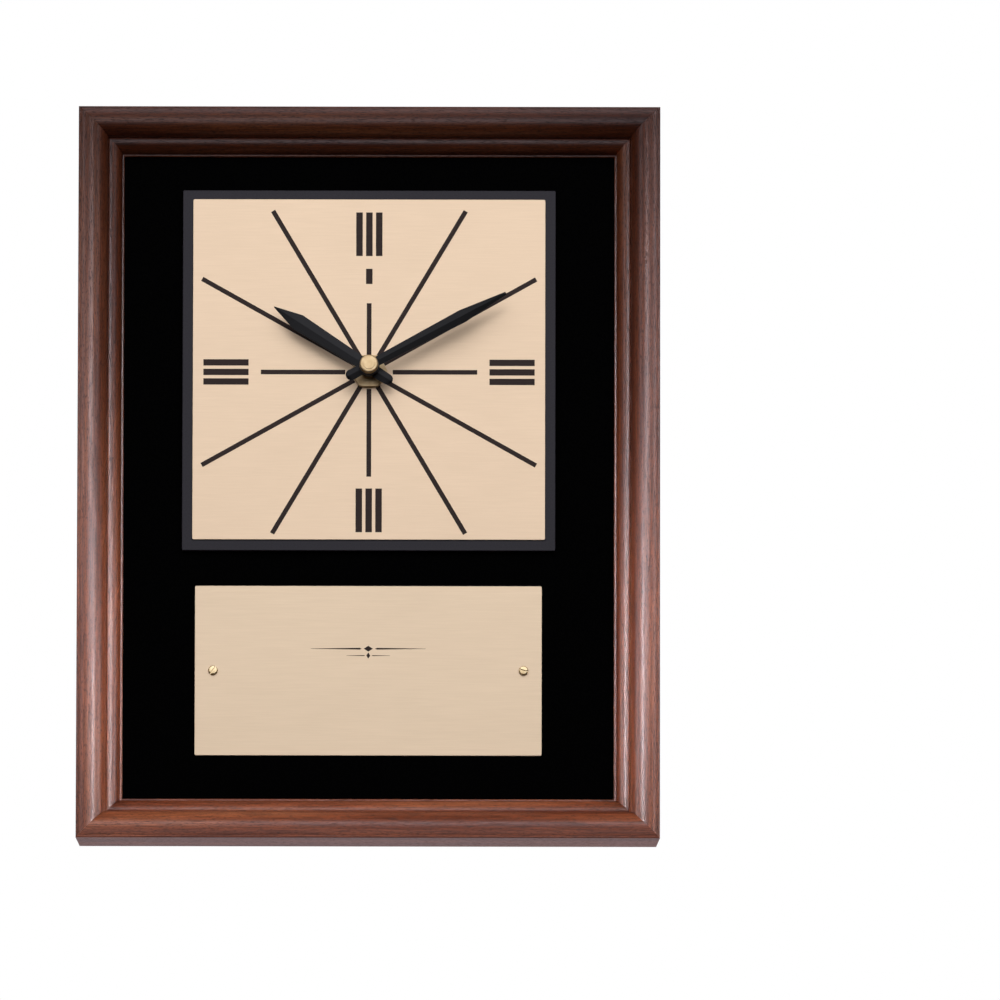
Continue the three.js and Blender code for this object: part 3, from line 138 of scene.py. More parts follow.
# Hands: distance from the shaft and width there, from the tail to the tip; lifts are from the dial
HOUR_WIDTHS = ((-6, 6), (0, 6), (43, 8.7), (57.5, 0.5))
HOUR_TAIL = (-14, 5.6)
HOUR_LIFT = 9.0
HOUR_THICK = 1.0
HOUR_HUB = (5.0, 0.1)
HOUR_ANGLE = 303.4
MINUTE_WIDTHS = ((-6, 5.4), (0, 4.8), (54, 6.9), (79, 1.5))
MINUTE_TAIL = (-13, 5.8)
MINUTE_LIFT = 12.8
MINUTE_THICK = 1.1
MINUTE_HUB = (5.4, 0.3)
MINUTE_ANGLE = 61.2
HAND_EDGE = 0.25  # upright edge of a blade, as a share of its thickness
HUB_EDGE = 0.2
TAIL_STEPS = 8

# Brass hardware at the shaft
CAP_RADIUS = 4.7
CAP_ROUND = 1.1
CAP_FACE = 3.0
CAP_FACE_PROUD = 0.4
CAP_FACE_DRAFT = 0.1
CAP_STEPS = 8
WASHER_EDGE = 0.2
NUT_ACROSS_FLATS = 16.2
NUT_CHAMFER = 0.9
BUSHING_BORE = 4.2

# Hanger, its nails and the bumpers on the back
BUMPER_EDGE = 2.6
BUMPER_DRAFT = 1.0
HANGER_THICK = 0.8
HANGER_FOOT = 7.0
HANGER_TOOTH = 2.0
HANGER_NOTCH = 1.4
HANGER_BEND = 0.6
NAIL_RADIUS = 0.6
NAIL_HOLE = 0.8
NAIL_POINT = 2.0
NAIL_HEAD_EDGE = 0.4
NAIL_HEAD_HEIGHT = 1.0

# Rear cover of the movement
COVER_THICK = 1.5
COVER_CORNER = 3.0
COVER_EDGE = 0.5
INTO_LID = 0.1
POST_RADIUS = 1.0
POST_BORE = 0.53
POST_LENGTH = 1.6
CENTRE_POST_RADIUS = 2.0
WELL_RADIUS = 5.6
WELL_DEPTH = 3.0
WELL_WALL = 0.9
WELL_FLOOR = 1.0
WELL_BORE = 0.98
WINDOW_CLEAR = 0.25
WINDOW_END_CLEAR = 1.3
THUMB_RADIUS = 5.0
THUMB_RISE = 6.0

# Signs moulded on the cover
MARK_WIDTH = 0.8
MARK_LENGTH = 3.4
MARK_PROUD = 0.25
MARK_INSET = 4.0
MARK_RISE = 3.2
ARROW_RADIUS = 7.6
ARROW_HALF = 1.2
ARROW_POINT = 14
ARROW_STEPS = 10
ARROW_SWEEPS = ((20, 70), (160, 110))  # degrees

# Setting knob and dry cell
KNOB_RIBS = 20
RIB_STEPS = 6
KNOB_RIB_DEPTH = 0.35
KNOB_EDGE = 0.3
KNOB_SLOT = 1.0
KNOB_SLOT_DEPTH = 0.4
KNOB_BORE_DEPTH = 2.05
CELL_ROLL = 0.6
CELL_DISC = 5.2
CELL_DISH = 0.25
CELL_BUTTON = 2.7
CELL_BUTTON_LENGTH = 1.0
CELL_BAND = 34.0
CELL_STEPS = 6
BUTTON_STEPS = 4
BARE_END = 0.8  # the metal is bare where a face stands at least this square to the cell's axis

# Print of the wire screen on the backing board
SCREEN_WIRE = 1.6
WAVE_REPEAT = 2 * math.pi / 20  # where a wave texture of scale 1 repeats

# Photograph: the camera looks up at the plaque by 15 degrees, far enough away to keep parallels parallel
IMAGE_WIDTH = 505.74
CAMERA_TARGET = (0.06645, -0.0254, -0.19563)
CAMERA_RISE = -15.0
CAMERA_DISTANCE = 20.0
CAMERA_ROLL = 0.1
SENSOR = 36.0

# Soft boxes: place, point they face, size in metres, power in watts, spread in degrees, and what they light
DAYLIGHT = "#f5f5ff"
TOP, BOTTOM, LEFT, RIGHT = ("moulding_top",), ("moulding_bottom",), ("moulding_left",), ("moulding_right",)
RAILS = TOP + BOTTOM + LEFT + RIGHT
ALL_BUT_RAILS = ()
EVERYTHING = None
SOFT_BOXES = {
    "key": ((0.05, -1.45, 0.36), (0, 0, -0.15), (0.6, 0.5), 2.0, 180, ALL_BUT_RAILS),
    "fill": ((0, -1.3, 0.45), (0, 0, -0.2), (2.6, 1.6), 22.0, 180, ALL_BUT_RAILS),
    "top_front": ((0, -1.2, 0.05), (0, 0, 0), (0.5, 0.7), 0.25, 60, TOP),
    "top_above": ((0, -0.6, 1.0), (0, 0, 0), (1.2, 0.6), 3.0, 180, TOP),
    "bottom_front": ((0, -1.2, 0), (0, 0, -0.36), (0.5, 0.3), 0.35, 60, BOTTOM),
    "below": ((0, -0.7, -0.75), (0, 0, -0.4), (1.2, 0.4), 0.2, 60, BOTTOM),
    "behind": ((0.5, 1.6, 0.5), (0, 0, -0.2), (1.2, 1.0), 11.0, 180, EVERYTHING),
}
# Pairs: the place and aim of the right-hand box, then the powers and rails of the left one and the right one
SOFT_BOX_PAIRS = {
    "low": ((0.35, -1.15, 0), (-0.15, 0, -0.31), (0.3, 0.16), (0.14, 0.118), 12, (RIGHT, LEFT)),
    "rake": ((1.1, -0.5, -0.1), (-0.15, 0, -0.3), (0.4, 0.12), (0.055, 0.056), 12, (RIGHT, LEFT)),
    "cross": ((0.7, -0.95, 0.1), (-0.15, 0, -0.18), (0.3, 0.3), (0.096, 0.086), 40, (RIGHT, LEFT)),
    "crest": ((0.16, -1.15, 0.12), (0.145, 0, -0.2), (0.3, 0.2), (0.108, 0.115), 20, (LEFT, RIGHT)),
    "side": ((1.0, -0.95, 0.1), (0.145, 0, -0.2), (0.4, 0.3), (0.1, 0.16), 30, (LEFT, RIGHT)),
    "bottom_end": ((1.3, -0.7, 0), (0, 0, -0.2), (0.4, 0.6), (15.9, 15.9), 180, (BOTTOM, BOTTOM)),
}
ROOM_GLOW = [(0.0, 0.003), (0.44, 0.005), (0.52, 0.02), (0.8, 0.03)]
WALL_GLOW = [(0.45, 0.0), (0.7, 0.61)]
WALL_TINT = "#ffecf3"

# Floor: far below the plaque, evenly bright, and seen from above only, so the low camera looks past it
FLOOR_SIZE = 60.0
FLOOR_LEVEL = -0.67
FLOOR_GLOW = 0.9

# Ways of working
TURNED_STEPS = 72
DOME_STEPS = 10
DRILL_LENGTH = 40.0
CUT_PAST = 1.0  # how far a cutter stands past the face it cuts
SMOOTH_ANGLE = math.radians(32)
MERGE_WITHIN = 0.001
NEARLY = 0.01 * MM  # play in the tests of where an edge lies


def deselect_all():
    """Goes back to object mode with nothing selected."""
    if bpy.context.mode != "OBJECT":
        bpy.ops.object.mode_set(mode="OBJECT")
    bpy.ops.object.select_all(action="DESELECT")


def pick(piece):
    """Makes a piece the only one selected."""
    deselect_all()
    piece.select_set(True)
    bpy.context.view_layer.objects.active = piece


def open_piece(name):
    """Starts an empty piece and leaves it open in edit mode."""
    deselect_all()
    bpy.ops.mesh.primitive_plane_add(location=(0, 0, 0))
    piece = bpy.context.object
    piece.name = name
    bpy.ops.object.mode_set(mode="EDIT")
    bpy.ops.mesh.select_mode(type="VERT")
    bpy.ops.mesh.delete(type="VERT")
    return piece


def add_line(points):
    """Draws a line in the open piece: one vertex, pulled out from point to point."""
    bpy.ops.mesh.primitive_plane_add(size=MM, location=points[0])
    bpy.ops.mesh.merge(type="CENTER")
    for before, after in zip(points, points[1:]):
        bpy.ops.mesh.extrude_vertices_move(TRANSFORM_OT_translate={"value": after - before})
    bpy.ops.mesh.select_linked()


def add_outline(points):
    """Draws a closed outline in the open piece and fills it."""
    add_line(points)
    bpy.ops.mesh.edge_face_add()


def pull(shift):
    """Extrudes what is selected."""
    bpy.ops.mesh.extrude_region_move(TRANSFORM_OT_translate={"value": shift})


def face_outwards():
    """Merges doubles in the open piece and turns its faces outwards."""
    bpy.ops.mesh.select_all(action="SELECT")
    bpy.ops.mesh.remove_doubles(threshold=MERGE_WITHIN * MM)
    bpy.ops.mesh.normals_make_consistent(inside=False)


def select_edges(test):
    """Selects, in the open piece, the edges whose two ends pass a test."""
    bpy.ops.mesh.select_mode(type="EDGE")
    bpy.ops.mesh.select_all(action="DESELECT")
    mesh = bmesh.from_edit_mesh(bpy.context.object.data)
    for edge in mesh.edges:
        if test(edge.verts[0].co, edge.verts[1].co):
            edge.select_set(True)
    bmesh.update_edit_mesh(bpy.context.object.data)


def prism(name, points, shift):
    """A closed outline given thickness."""
    piece = open_piece(name)
    add_outline(points)
    pull(shift)
    face_outwards()
    return piece


def turned(name, middle, profile, axis=FRONT):
    """A profile of (radius, height) in millimetres, turned round an axis from its foot at middle."""
    side = UP if axis is ACROSS else ACROSS
    piece = open_piece(name)
    add_line([middle + side * radius * MM + axis * height * MM for radius, height in profile])
    bpy.ops.mesh.spin(steps=TURNED_STEPS, angle=2 * math.pi, center=middle, axis=axis)
    face_outwards()
    return piece


def block(name, low, high):
    """A block between two corners, left open in edit mode for shaping."""
    deselect_all()
    bpy.ops.mesh.primitive_cube_add(size=1, location=(low + high) / 2, scale=high - low)
    bpy.ops.object.transform_apply()
    piece = bpy.context.object
    piece.name = name
    bpy.ops.object.mode_set(mode="EDIT")
    return piece


def round_edges(test, radius, segments=4):
    """Rounds the edges of the open piece that pass a test."""
    select_edges(test)
    bpy.ops.mesh.bevel(offset=radius * MM, segments=segments, affect="EDGES")


def apply_modifier(piece, kind, **settings):
    """Adds a modifier to the active piece, sets it and applies it."""
    bpy.ops.object.modifier_add(type=kind)
    modifier = piece.modifiers[-1]
    for name, value in settings.items():
        setattr(modifier, name, value)
    bpy.ops.object.modifier_apply(modifier=modifier.name)


def combine(piece, other, operation):
    """Joins another shape to a piece, or cuts it out of the piece, and uses the other shape up."""
    pick(piece)
    apply_modifier(piece, "BOOLEAN", operation=operation, object=other, solver="EXACT")
    bpy.data.objects.remove(other)


def rod(name, foot, radius, length):
    """A plain round bar that points to the front, to cut with or to join on."""
    return turned(name, foot, [(0, 0), (radius, 0), (radius, length), (0, length)])


def drill(piece, middle, radius):
    """Drills a round hole right through a piece from front to back."""
    foot = middle - FRONT * DRILL_LENGTH / 2 * MM
    combine(piece, rod("drill", foot, radius, DRILL_LENGTH), "DIFFERENCE")


def settle(piece, material, slot, *nodes, body="plaque"):
    """Gives a finished piece its finish and the body it moves with, and hides the solids it stands for."""
    pick(piece)
    bpy.ops.object.transform_apply()
    bpy.ops.object.shade_smooth_by_angle(angle=SMOOTH_ANGLE)
    apply_modifier(piece, "WEIGHTED_NORMAL", keep_sharp=True)
    piece.data.name = piece.name
    piece.data.materials.clear()
    piece.data.materials.append(material)
    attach(piece, body)
    if nodes:
        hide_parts(*nodes)


def settle_pair(left_one, right_one, material, slot, node):
    """Settles a left-hand piece and its right-hand copy."""
    settle(left_one, material, slot, node + "_left")
    settle(right_one, material, slot, node + "_right")


def copy_piece(piece, name, shift=(0, 0, 0), turn=0, middle=(0, 0, 0)):
    """A copy of a piece with its own mesh, moved, then turned by degrees round a line to the front."""
    pick(piece)
    bpy.ops.object.duplicate()
    copy = bpy.context.object
    copy.name = name
    bpy.ops.transform.translate(value=shift)
    bpy.ops.transform.rotate(value=-math.radians(turn), orient_axis="Y", center_override=middle)
    bpy.ops.object.transform_apply()
    return copy


def bent(start, corner, end, steps=MOULDING_STEPS):
    """Points of a curve that leaves start towards corner and arrives at end from it."""
    points = []
    for step in range(steps + 1):
        t = step / steps
        points.append(tuple(
            (1 - t) ** 2 * a + 2 * t * (1 - t) * b + t ** 2 * c for a, b, c in zip(start, corner, end)
        ))
    return points


def quarter(top, foot):
    """Points of a quarter ellipse that leaves its top sideways and arrives at its foot straight down."""
    points = []
    for step in range(MOULDING_STEPS + 1):
        angle = math.pi / 2 * step / MOULDING_STEPS
        points.append((
            top[0] + (foot[0] - top[0]) * math.sin(angle),
            foot[1] + (top[1] - foot[1]) * math.cos(angle),
        ))
    return points


def round_top(radius, height, ease, steps):
    """Points of the rounded edge round the top of a turned profile."""
    return bent((radius, height - ease), (radius, height), (radius - ease, height), steps)


def dome(radius, edge, height):
    """A profile with an upright edge and a low dome, from the rim to the axis."""
    points = [(radius, 0)]
    for step in range(DOME_STEPS):
        swing = math.pi / 2 * step / DOME_STEPS
        points.append((radius * math.cos(swing), edge + (height - edge) * math.sin(swing)))
    return points + [(0, height)]


def radial(angle):
    """The direction at an angle in radians, counted from +X towards +Z."""
    return ACROSS * math.cos(angle) + UP * math.sin(angle)


def at_depth(point, depth):
    """The same place at another depth."""
    return Vector((point.x, depth, point.z))


def runs_along(axis, a, b):
    """Whether the edge between two points runs along an axis."""
    return axis.cross(b - a).length < NEARLY


def box_of(node):
    """The low and the high corner of a node's box."""
    low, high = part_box(node)
    return Vector(low), Vector(high)


def middle_of(node):
    """The middle of a node's box."""
    low, high = box_of(node)
    return (low + high) / 2


# Materials

RAMP = "ValToRGB"
BLEND = "Mix"
FACTOR, FIRST, SECOND = 0, 6, 7  # the inputs of a blend of colours
MIXED = {"data_type": "RGBA", "output": 2}
MULTIPLIED = {**MIXED, "blend_type": "MULTIPLY"}


def colour(tone):
    """An sRGB hex colour, or a neutral level, as linear values."""
    if not isinstance(tone, str):
        return (tone, tone, tone, 1.0)
    channels = [int(tone[place:place + 2], 16) / 255 for place in (1, 3, 5)]
    linear = [c / 12.92 if c <= 0.04045 else ((c + 0.055) / 1.055) ** 2.4 for c in channels]
    return (*linear, 1.0)


def add_node(tree, kind, inputs=None, stops=(), output=0, **settings):
    """Adds a node and gives one of its outputs; an input is a value, a hex colour or a linked output."""
    node = tree.nodes.new("ShaderNode" + kind)
    for name, value in settings.items():
        setattr(node, name, value)
    for socket, value in (inputs or {}).items():
        if isinstance(value, bpy.types.NodeSocket):
            tree.links.new(value, node.inputs[socket])
        else:
            node.inputs[socket].default_value = colour(value) if isinstance(value, str) else value
    for index, (place, tone) in enumerate(stops):
        if index > 1:
            node.color_ramp.elements.new(place)
        node.color_ramp.elements[index].position = place
        node.color_ramp.elements[index].color = colour(tone)
    return node.outputs[output] if node.outputs else None


def new_material(name):
    """An empty material and its node tree."""
    material = bpy.data.materials.new(name)
    material.use_nodes = True
    material.node_tree.nodes.clear()
    return material, material.node_tree


def specks(tree, cell, turn=(0, 0, 0), shift=(0, 0, 0), detail=3.0):
    """A soft pattern whose patches measure cell, in millimetres along x, y and z after the turn."""
    place = add_node(tree, "TexCoord", output="Object")
    laid = add_node(tree, "Mapping", {"Vector": place, "Rotation": turn, "Location": shift})
    scale = [1 / (size * MM) for size in cell]
    scaled = add_node(tree, "Mapping", {"Vector": laid, "Scale": scale})
    return add_node(tree, "TexNoise", {
        "Vector": scaled, "Scale": 1.0, "Detail": detail, "Roughness": 0.55,
    })


def finish_material(material, tree, values, bump=None, depth=0.0):
    """Ends a material in a surface, with an optional relief of a depth in millimetres."""
    if depth:
        relief = add_node(tree, "Bump", {"Height": bump, "Distance": depth * MM, "Strength": 1.0})
        values = {**values, "Normal": relief}
    surface = add_node(tree, "BsdfPrincipled", values)
    add_node(tree, "OutputMaterial", {"Surface": surface})
    return material


def speckled(name, cell, detail, tones, gloss, values, depth=0.0, ends=(0.3, 0.7)):
    """A finish whose colour and roughness follow one fine pattern, from its low places to its high ones."""
    material, tree = new_material(name)
    pattern = specks(tree, (cell, cell, cell), detail=detail)
    base = add_node(tree, RAMP, {"Fac": pattern}, zip(ends, tones))
    rough = add_node(tree, RAMP, {"Fac": pattern}, zip(ends, gloss))
    values = {"Base Color": base, "Roughness": rough, **values}
    return finish_material(material, tree, values, pattern, depth)


def lacquered_walnut(name, turn, shift):
    """Black walnut under satin lacquer: streaks along the rail, and pores that stay dark in the gloss."""
    material, tree = new_material(name)
    figure = specks(tree, (190, 9, 9), turn, shift)
    streak = specks(tree, (14, 0.35, 0.35), turn, shift)
    pore = specks(tree, (2.2, 0.4, 0.4), turn, shift, detail=1.0)
    wood = add_node(tree, RAMP, {"Fac": figure}, [
        (0.30, "#71341f"),
        (0.46, "#8c4729"),
        (0.56, "#9e5432"),
        (0.72, "#b4683f"),
    ])
    shade = add_node(tree, RAMP, {"Fac": streak}, [(0.38, 0.4), (0.6, 1.0)])
    streaked = add_node(tree, BLEND, {FACTOR: 0.9, FIRST: wood, SECOND: shade}, **MULTIPLIED)
    holes = add_node(tree, RAMP, {"Fac": pore}, [(0.52, 0.0), (0.7, 0.65)])
    pored = add_node(tree, BLEND, {FACTOR: holes, FIRST: streaked, SECOND: "#331a12"}, **MIXED)
    gloss = add_node(tree, RAMP, {"Fac": pore}, [(0.52, 0.36), (0.7, 0.6)])
    lift = add_node(tree, RAMP, {"Fac": pore}, [(0.52, 1.0), (0.7, 0.0)])
    return finish_material(material, tree, {
        "Base Color": pored, "Roughness": gloss, "IOR": 1.5, "Specular IOR Level": 0.65,
    }, lift, 0.02)


def black_velour():
    """Black velour: a short dense pile that swallows light, with faint lint and a soft edge sheen."""
    material, tree = new_material("black_velour")
    pile = specks(tree, (0.7, 0.7, 0.7))
    lint = specks(tree, (2.2, 2.2, 2.2), detail=6.0)
    base = add_node(tree, RAMP, {"Fac": pile}, [(0.35, "#010101"), (0.7, "#040404")])
    dust = add_node(tree, RAMP, {"Fac": lint}, [(0.74, 0.0), (0.8, 0.5)])
    dusted = add_node(tree, BLEND, {FACTOR: dust, FIRST: base, SECOND: "#1d1c1d"}, **MIXED)
    return finish_material(material, tree, {
        "Base Color": dusted, "Roughness": 0.95, "Specular IOR Level": 0.02,
        "Sheen Weight": 0.02, "Sheen Roughness": 0.35, "Sheen Tint": "#6a6a70",
    }, pile, 0.25)


def brushed_brass(name, light, dark):
    """Sheet brass brushed from side to side: its hairlines are finer than a pixel, drawn 0.5 mm coarse."""
    material, tree = new_material(name)
    hair = specks(tree, (18, 18, 0.5), detail=2.0)
    cloud = specks(tree, (60, 60, 25))
    lines = add_node(tree, RAMP, {"Fac": hair}, [(0.3, dark), (0.7, light)])
    tone = add_node(tree, RAMP, {"Fac": cloud}, [(0.3, 0.98), (0.7, 1.0)])
    toned = add_node(tree, BLEND, {FACTOR: 1.0, FIRST: lines, SECOND: tone}, **MULTIPLIED)
    gloss = add_node(tree, RAMP, {"Fac": hair}, [(0.3, 0.6), (0.7, 0.58)])
    return finish_material(material, tree, {
        "Base Color": toned, "Metallic": 1.0, "Roughness": gloss,
    }, hair, 0.0004)


def turned_brass(name, low, high, rough):
    """Turned brass hardware: yellow, softly bright, with a faint cloud of tarnish."""
    return speckled(name, 3, 4.0, (low, high), (rough + 0.08, rough), {"Metallic": 1.0})


def satin_black(name, low, high, rough):
    """Satin black paint: an even dark grey with a fine spray grain."""
    shine = {"IOR": 1.5, "Specular IOR Level": 0.25}
    return speckled(name, 0.9, 5.0, (low, high), (rough, rough + 0.1), shine, 0.012, (0.35, 0.68))


def screen_back_hardboard():
    """Hardboard seen from its screen side: brown pressed fibre with the print of a 1.6 mm wire screen."""
    material, tree = new_material("screen_back_hardboard")
    fibre = specks(tree, (1.8, 1.8, 1.8), detail=6.0)
    patch = specks(tree, (60, 60, 60))
    base = add_node(tree, RAMP, {"Fac": fibre}, [
        (0.3, "#543a28"), (0.5, "#6a4a34"), (0.72, "#806043"),
    ])
    tone = add_node(tree, RAMP, {"Fac": patch}, [(0.3, 0.8), (0.7, 1.0)])
    toned = add_node(tree, BLEND, {FACTOR: 1.0, FIRST: base, SECOND: tone}, **MULTIPLIED)
    place = add_node(tree, "TexCoord", output="Object")
    waves = [
        add_node(tree, "TexWave", {
            "Vector": place, "Scale": WAVE_REPEAT / (SCREEN_WIRE * MM), "Distortion": 0.4, "Detail": 1.0,
        }, output="Fac", bands_direction=direction)
        for direction in ("X", "Z")
    ]
    screen = add_node(tree, "Math", {0: waves[0], 1: waves[1]}, operation="MULTIPLY")
    return finish_material(material, tree, {"Base Color": toned, "Roughness": 0.85}, screen, 0.35)


def bright_zinc():
    """Zinc-plated steel: cool bright grey with a soft cloudy spangle."""
    return speckled("bright_zinc_steel", 2.5, 5.0, ("#9da1a6", "#cfd2d4"), (0.42, 0.26), {"Metallic": 1.0})


def moulded_plastic(name, low, high, rough):
    """Moulded plastic with a fine spark-eroded texture, drawn 0.5 mm coarse."""
    return speckled(name, 0.5, 4.0, (low, high), (rough - 0.06, rough + 0.06), {"IOR": 1.5}, 0.03)


def printed_ink():
    """Screen-printed ink: warm near-black, flat, slightly thin where the brushed metal shows through."""
    material, tree = new_material("printed_ink")
    hair = specks(tree, (40, 40, 0.4), detail=3.0)
    base = add_node(tree, RAMP, {"Fac": hair}, [(0.3, "#302420"), (0.75, "#3a2c25")])
    return finish_material(material, tree, {
        "Base Color": base, "Roughness": 0.55, "Specular IOR Level": 0.15,
    })


def enamelled_copper():
    """Enamelled copper wire wound side by side, 0.12 mm thick, drawn 0.4 mm coarse."""
    material, tree = new_material("enamelled_copper_wire")
    turns = specks(tree, (6, 6, 0.4), detail=1.0)
    base = add_node(tree, RAMP, {"Fac": turns}, [(0.3, "#8c4322"), (0.7, "#c77a4a")])
    return finish_material(material, tree, {
        "Base Color": base, "Metallic": 1.0, "Roughness": 0.35,
    }, turns, 0.05)


def cell_sleeve(start):
    """A dry cell's printed sleeve: charcoal, copper-coloured at the button end, faintly scuffed."""
    material, tree = new_material("printed_cell_sleeve")
    place = add_node(tree, "TexCoord", output="Object")
    along = add_node(tree, "SeparateXYZ", {"Vector": place}, output="X")
    band = add_node(tree, "Math", {0: along, 1: start + CELL_BAND * MM}, operation="GREATER_THAN")
    scuff = specks(tree, (9, 1.2, 1.2), detail=5.0)
    dark = add_node(tree, RAMP, {"Fac": scuff}, [(0.3, "#2b2d31"), (0.7, "#3a3c40")])
    bright = add_node(tree, RAMP, {"Fac": scuff}, [(0.3, "#a9703c"), (0.7, "#bd8450")])
    base = add_node(tree, BLEND, {FACTOR: band, FIRST: dark, SECOND: bright}, **MIXED)
    gloss = add_node(tree, RAMP, {"Fac": scuff}, [(0.3, 0.36), (0.7, 0.26)])
    return finish_material(material, tree, {"Base Color": base, "Metallic": 0.6, "Roughness": gloss})


def matt_floor_paint():
    """Pale matt paint, evenly bright with faint clouds, clear when it is seen from below."""
    material, tree = new_material("matt_floor_paint")
    cloud = specks(tree, (300, 300, 300))
    tone = add_node(tree, RAMP, {"Fac": cloud}, [(0.3, "#ebeae7"), (0.7, "#efeeeb")])
    underside = add_node(tree, "NewGeometry", output="Backfacing")
    topside = add_node(tree, "Math", {0: 1.0, 1: underside}, operation="SUBTRACT")
    return finish_material(material, tree, {
        "Base Color": tone, "Roughness": 0.9, "Alpha": topside,
        "Emission Color": tone, "Emission Strength": FLOOR_GLOW,
    })


VELOUR = black_velour()
DIAL_BRASS = brushed_brass("brushed_dial_brass", "#e8d1b2", "#e5ceaf")
# The plate's brass is a slightly darker copy of the dial's: painted shade.
SHADED_PLATE_BRASS = brushed_brass("brushed_plate_brass", "#e6d1b2", "#e3ceaf")
HARDWARE_BRASS = turned_brass("satin_turned_brass", "#cdb083", "#d9c297", 0.5)
# The screws' brass is a lighter copy of the cap's: painted light that brightens their heads.
LIT_SCREW_BRASS = turned_brass("polished_turned_brass", "#d8bf90", "#e6d2a8", 0.4)
PLATE_BLACK = satin_black("satin_black_plate", "#211e23", "#2b282d", 0.5)
HAND_BLACK = satin_black("satin_black_hands", "#060606", "#0b0b0c", 0.38)
INK = printed_ink()
HARDBOARD = screen_back_hardboard()
ZINC = bright_zinc()
CASE_BLACK = moulded_plastic("moulded_black_abs", "#141415", "#1d1d1f", 0.5)
WHEEL_WHITE = moulded_plastic("moulded_acetal", "#dcd8cc", "#ece9e0", 0.42)
RUBBER = moulded_plastic("moulded_rubber", "#171717", "#242424", 0.75)
SOLDER_MASK = moulded_plastic("green_solder_mask", "#214a2c", "#2f6340", 0.4)
COPPER = enamelled_copper()
CELL = cell_sleeve(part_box("battery_aa")[0][0])


# Frame

frame_low = Vector(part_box("frame_bottom_rail")[0])
frame_high = Vector(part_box("frame_top_rail")[1])
frame_middle = Vector((0, 0, (frame_low.z + frame_high.z) / 2))
frame_half = Vector((frame_high.x, 0, (frame_high.z - frame_low.z) / 2))


def moulding_outline():
    """The section of the moulding: leaning outer face, crest, roll, crease, bead, lip and rabbet."""
    edge = (0, EDGE_HEIGHT - EDGE_ROUND)
    shoulder = (EDGE_ROUND, EDGE_HEIGHT)
    crest = (CREST_INSET, CREST_HEIGHT)
    crease = (CREASE_INSET, CREASE_HEIGHT)
    bead = (BEAD_INSET, BEAD_HEIGHT)
    outline = [(BACK_TAPER, 0)]
    outline += bent(edge, (0, EDGE_HEIGHT), shoulder)
    outline += bent(shoulder, (CREST_INSET / 2, CREST_HEIGHT), crest)[1:]
    outline += quarter(crest, crease)[1:]
    outline += bent(crease, (CREASE_INSET, BEAD_HEIGHT), bead)[1:]
    outline += quarter(bead, (LIP_INSET, LIP_HEIGHT))[1:]
    outline += [
        (SIGHT_INSET - LIP_CHAMFER, LIP_HEIGHT),
        (SIGHT_INSET, LIP_HEIGHT - LIP_CHAMFER),
        (SIGHT_INSET, RABBET_HEIGHT),
        (RABBET_INSET, RABBET_HEIGHT),
        (RABBET_INSET, 0),
    ]
    return outline


def rail(name, along, out):
    """One length of the moulding, sawn at both ends to a mitre with a hairline between the rails."""
    reach = abs(along.dot(frame_half))
    width = abs(out.dot(frame_half))
    start = frame_middle - along * reach + out * width
    piece = prism(
        name,
        [start - out * inset * MM + FRONT * height * MM for inset, height in moulding_outline()],
        along * 2 * reach,
    )
    for end in (along, -along):
        bpy.ops.mesh.select_all(action="SELECT")
        bpy.ops.mesh.bisect(
            plane_co=frame_middle + end * (reach - MITRE_LINE * MM) + out * width,
            plane_no=end - out,
            use_fill=True,
            clear_outer=True,
        )
    return piece


top = rail("moulding_top", ACROSS, UP)
bottom = copy_piece(top, "moulding_bottom", turn=180, middle=frame_middle)
left = rail("moulding_left", UP, -ACROSS)
right = copy_piece(left, "moulding_right", turn=180, middle=frame_middle)
for piece, turn, shift, node in (
    (top, GRAIN_ACROSS, (0.3, 0, 0.1), "frame_top_rail"),
    (bottom, GRAIN_ACROSS, (1.1, 0.2, 0), "frame_bottom_rail"),
    (left, GRAIN_UPRIGHT, (0, 0.4, 0.7), "frame_left_stile"),
    (right, GRAIN_UPRIGHT, (0.5, 0, 1.3), "frame_right_stile"),
):
    settle(piece, lacquered_walnut("lacquered_walnut_" + node, turn, shift), "walnut", node)


# Velour panel

shaft = Vector((0, 0, middle_of("cap_nut").z))
velour_low, velour_high = box_of("velour_panel")
velour_size = velour_high - velour_low
deselect_all()
bpy.ops.mesh.primitive_grid_add(
    x_subdivisions=VELOUR_CELLS[0], y_subdivisions=VELOUR_CELLS[1], size=1,
    location=(0, velour_low.y, middle_of("velour_panel").z), rotation=(math.pi / 2, 0, 0),
)
velour = bpy.context.object
velour.name = "velour_cloth"
bpy.ops.transform.resize(value=(velour_size.x, 1, velour_size.z))
bpy.ops.object.transform_apply()
apply_modifier(velour, "SOLIDIFY", thickness=velour_size.y, offset=-1)
cutout_half = Vector((CLOCK_CUTOUT, CLOCK_CUTOUT, CLOCK_CUTOUT)) * MM / 2
combine(velour, block("cutter", shaft - cutout_half, shaft + cutout_half), "DIFFERENCE")
settle(velour, VELOUR, "velour", "velour_panel")


# Plates


def sheet_plate(name, node, edge, holes, hole_radius, material, slot):
    """A cut plate: its corners nipped round, its front edges eased and its holes drilled."""
    low, high = box_of(node)
    piece = block(name, low, high)
    round_edges(lambda a, b: runs_along(FRONT, a, b), PLATE_CORNER)
    round_edges(lambda a, b: max(a.y, b.y) < low.y + NEARLY, edge, segments=3)
    for hole in holes:
        drill(piece, hole, hole_radius)
    settle(piece, material, slot, node)


dial_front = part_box("dial_plate")[0][1]
plate_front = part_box("engraved_plate")[0][1]
dial_shaft = at_depth(shaft, dial_front)
screw_places = [middle_of("plate_screw_left"), middle_of("plate_screw_right")]

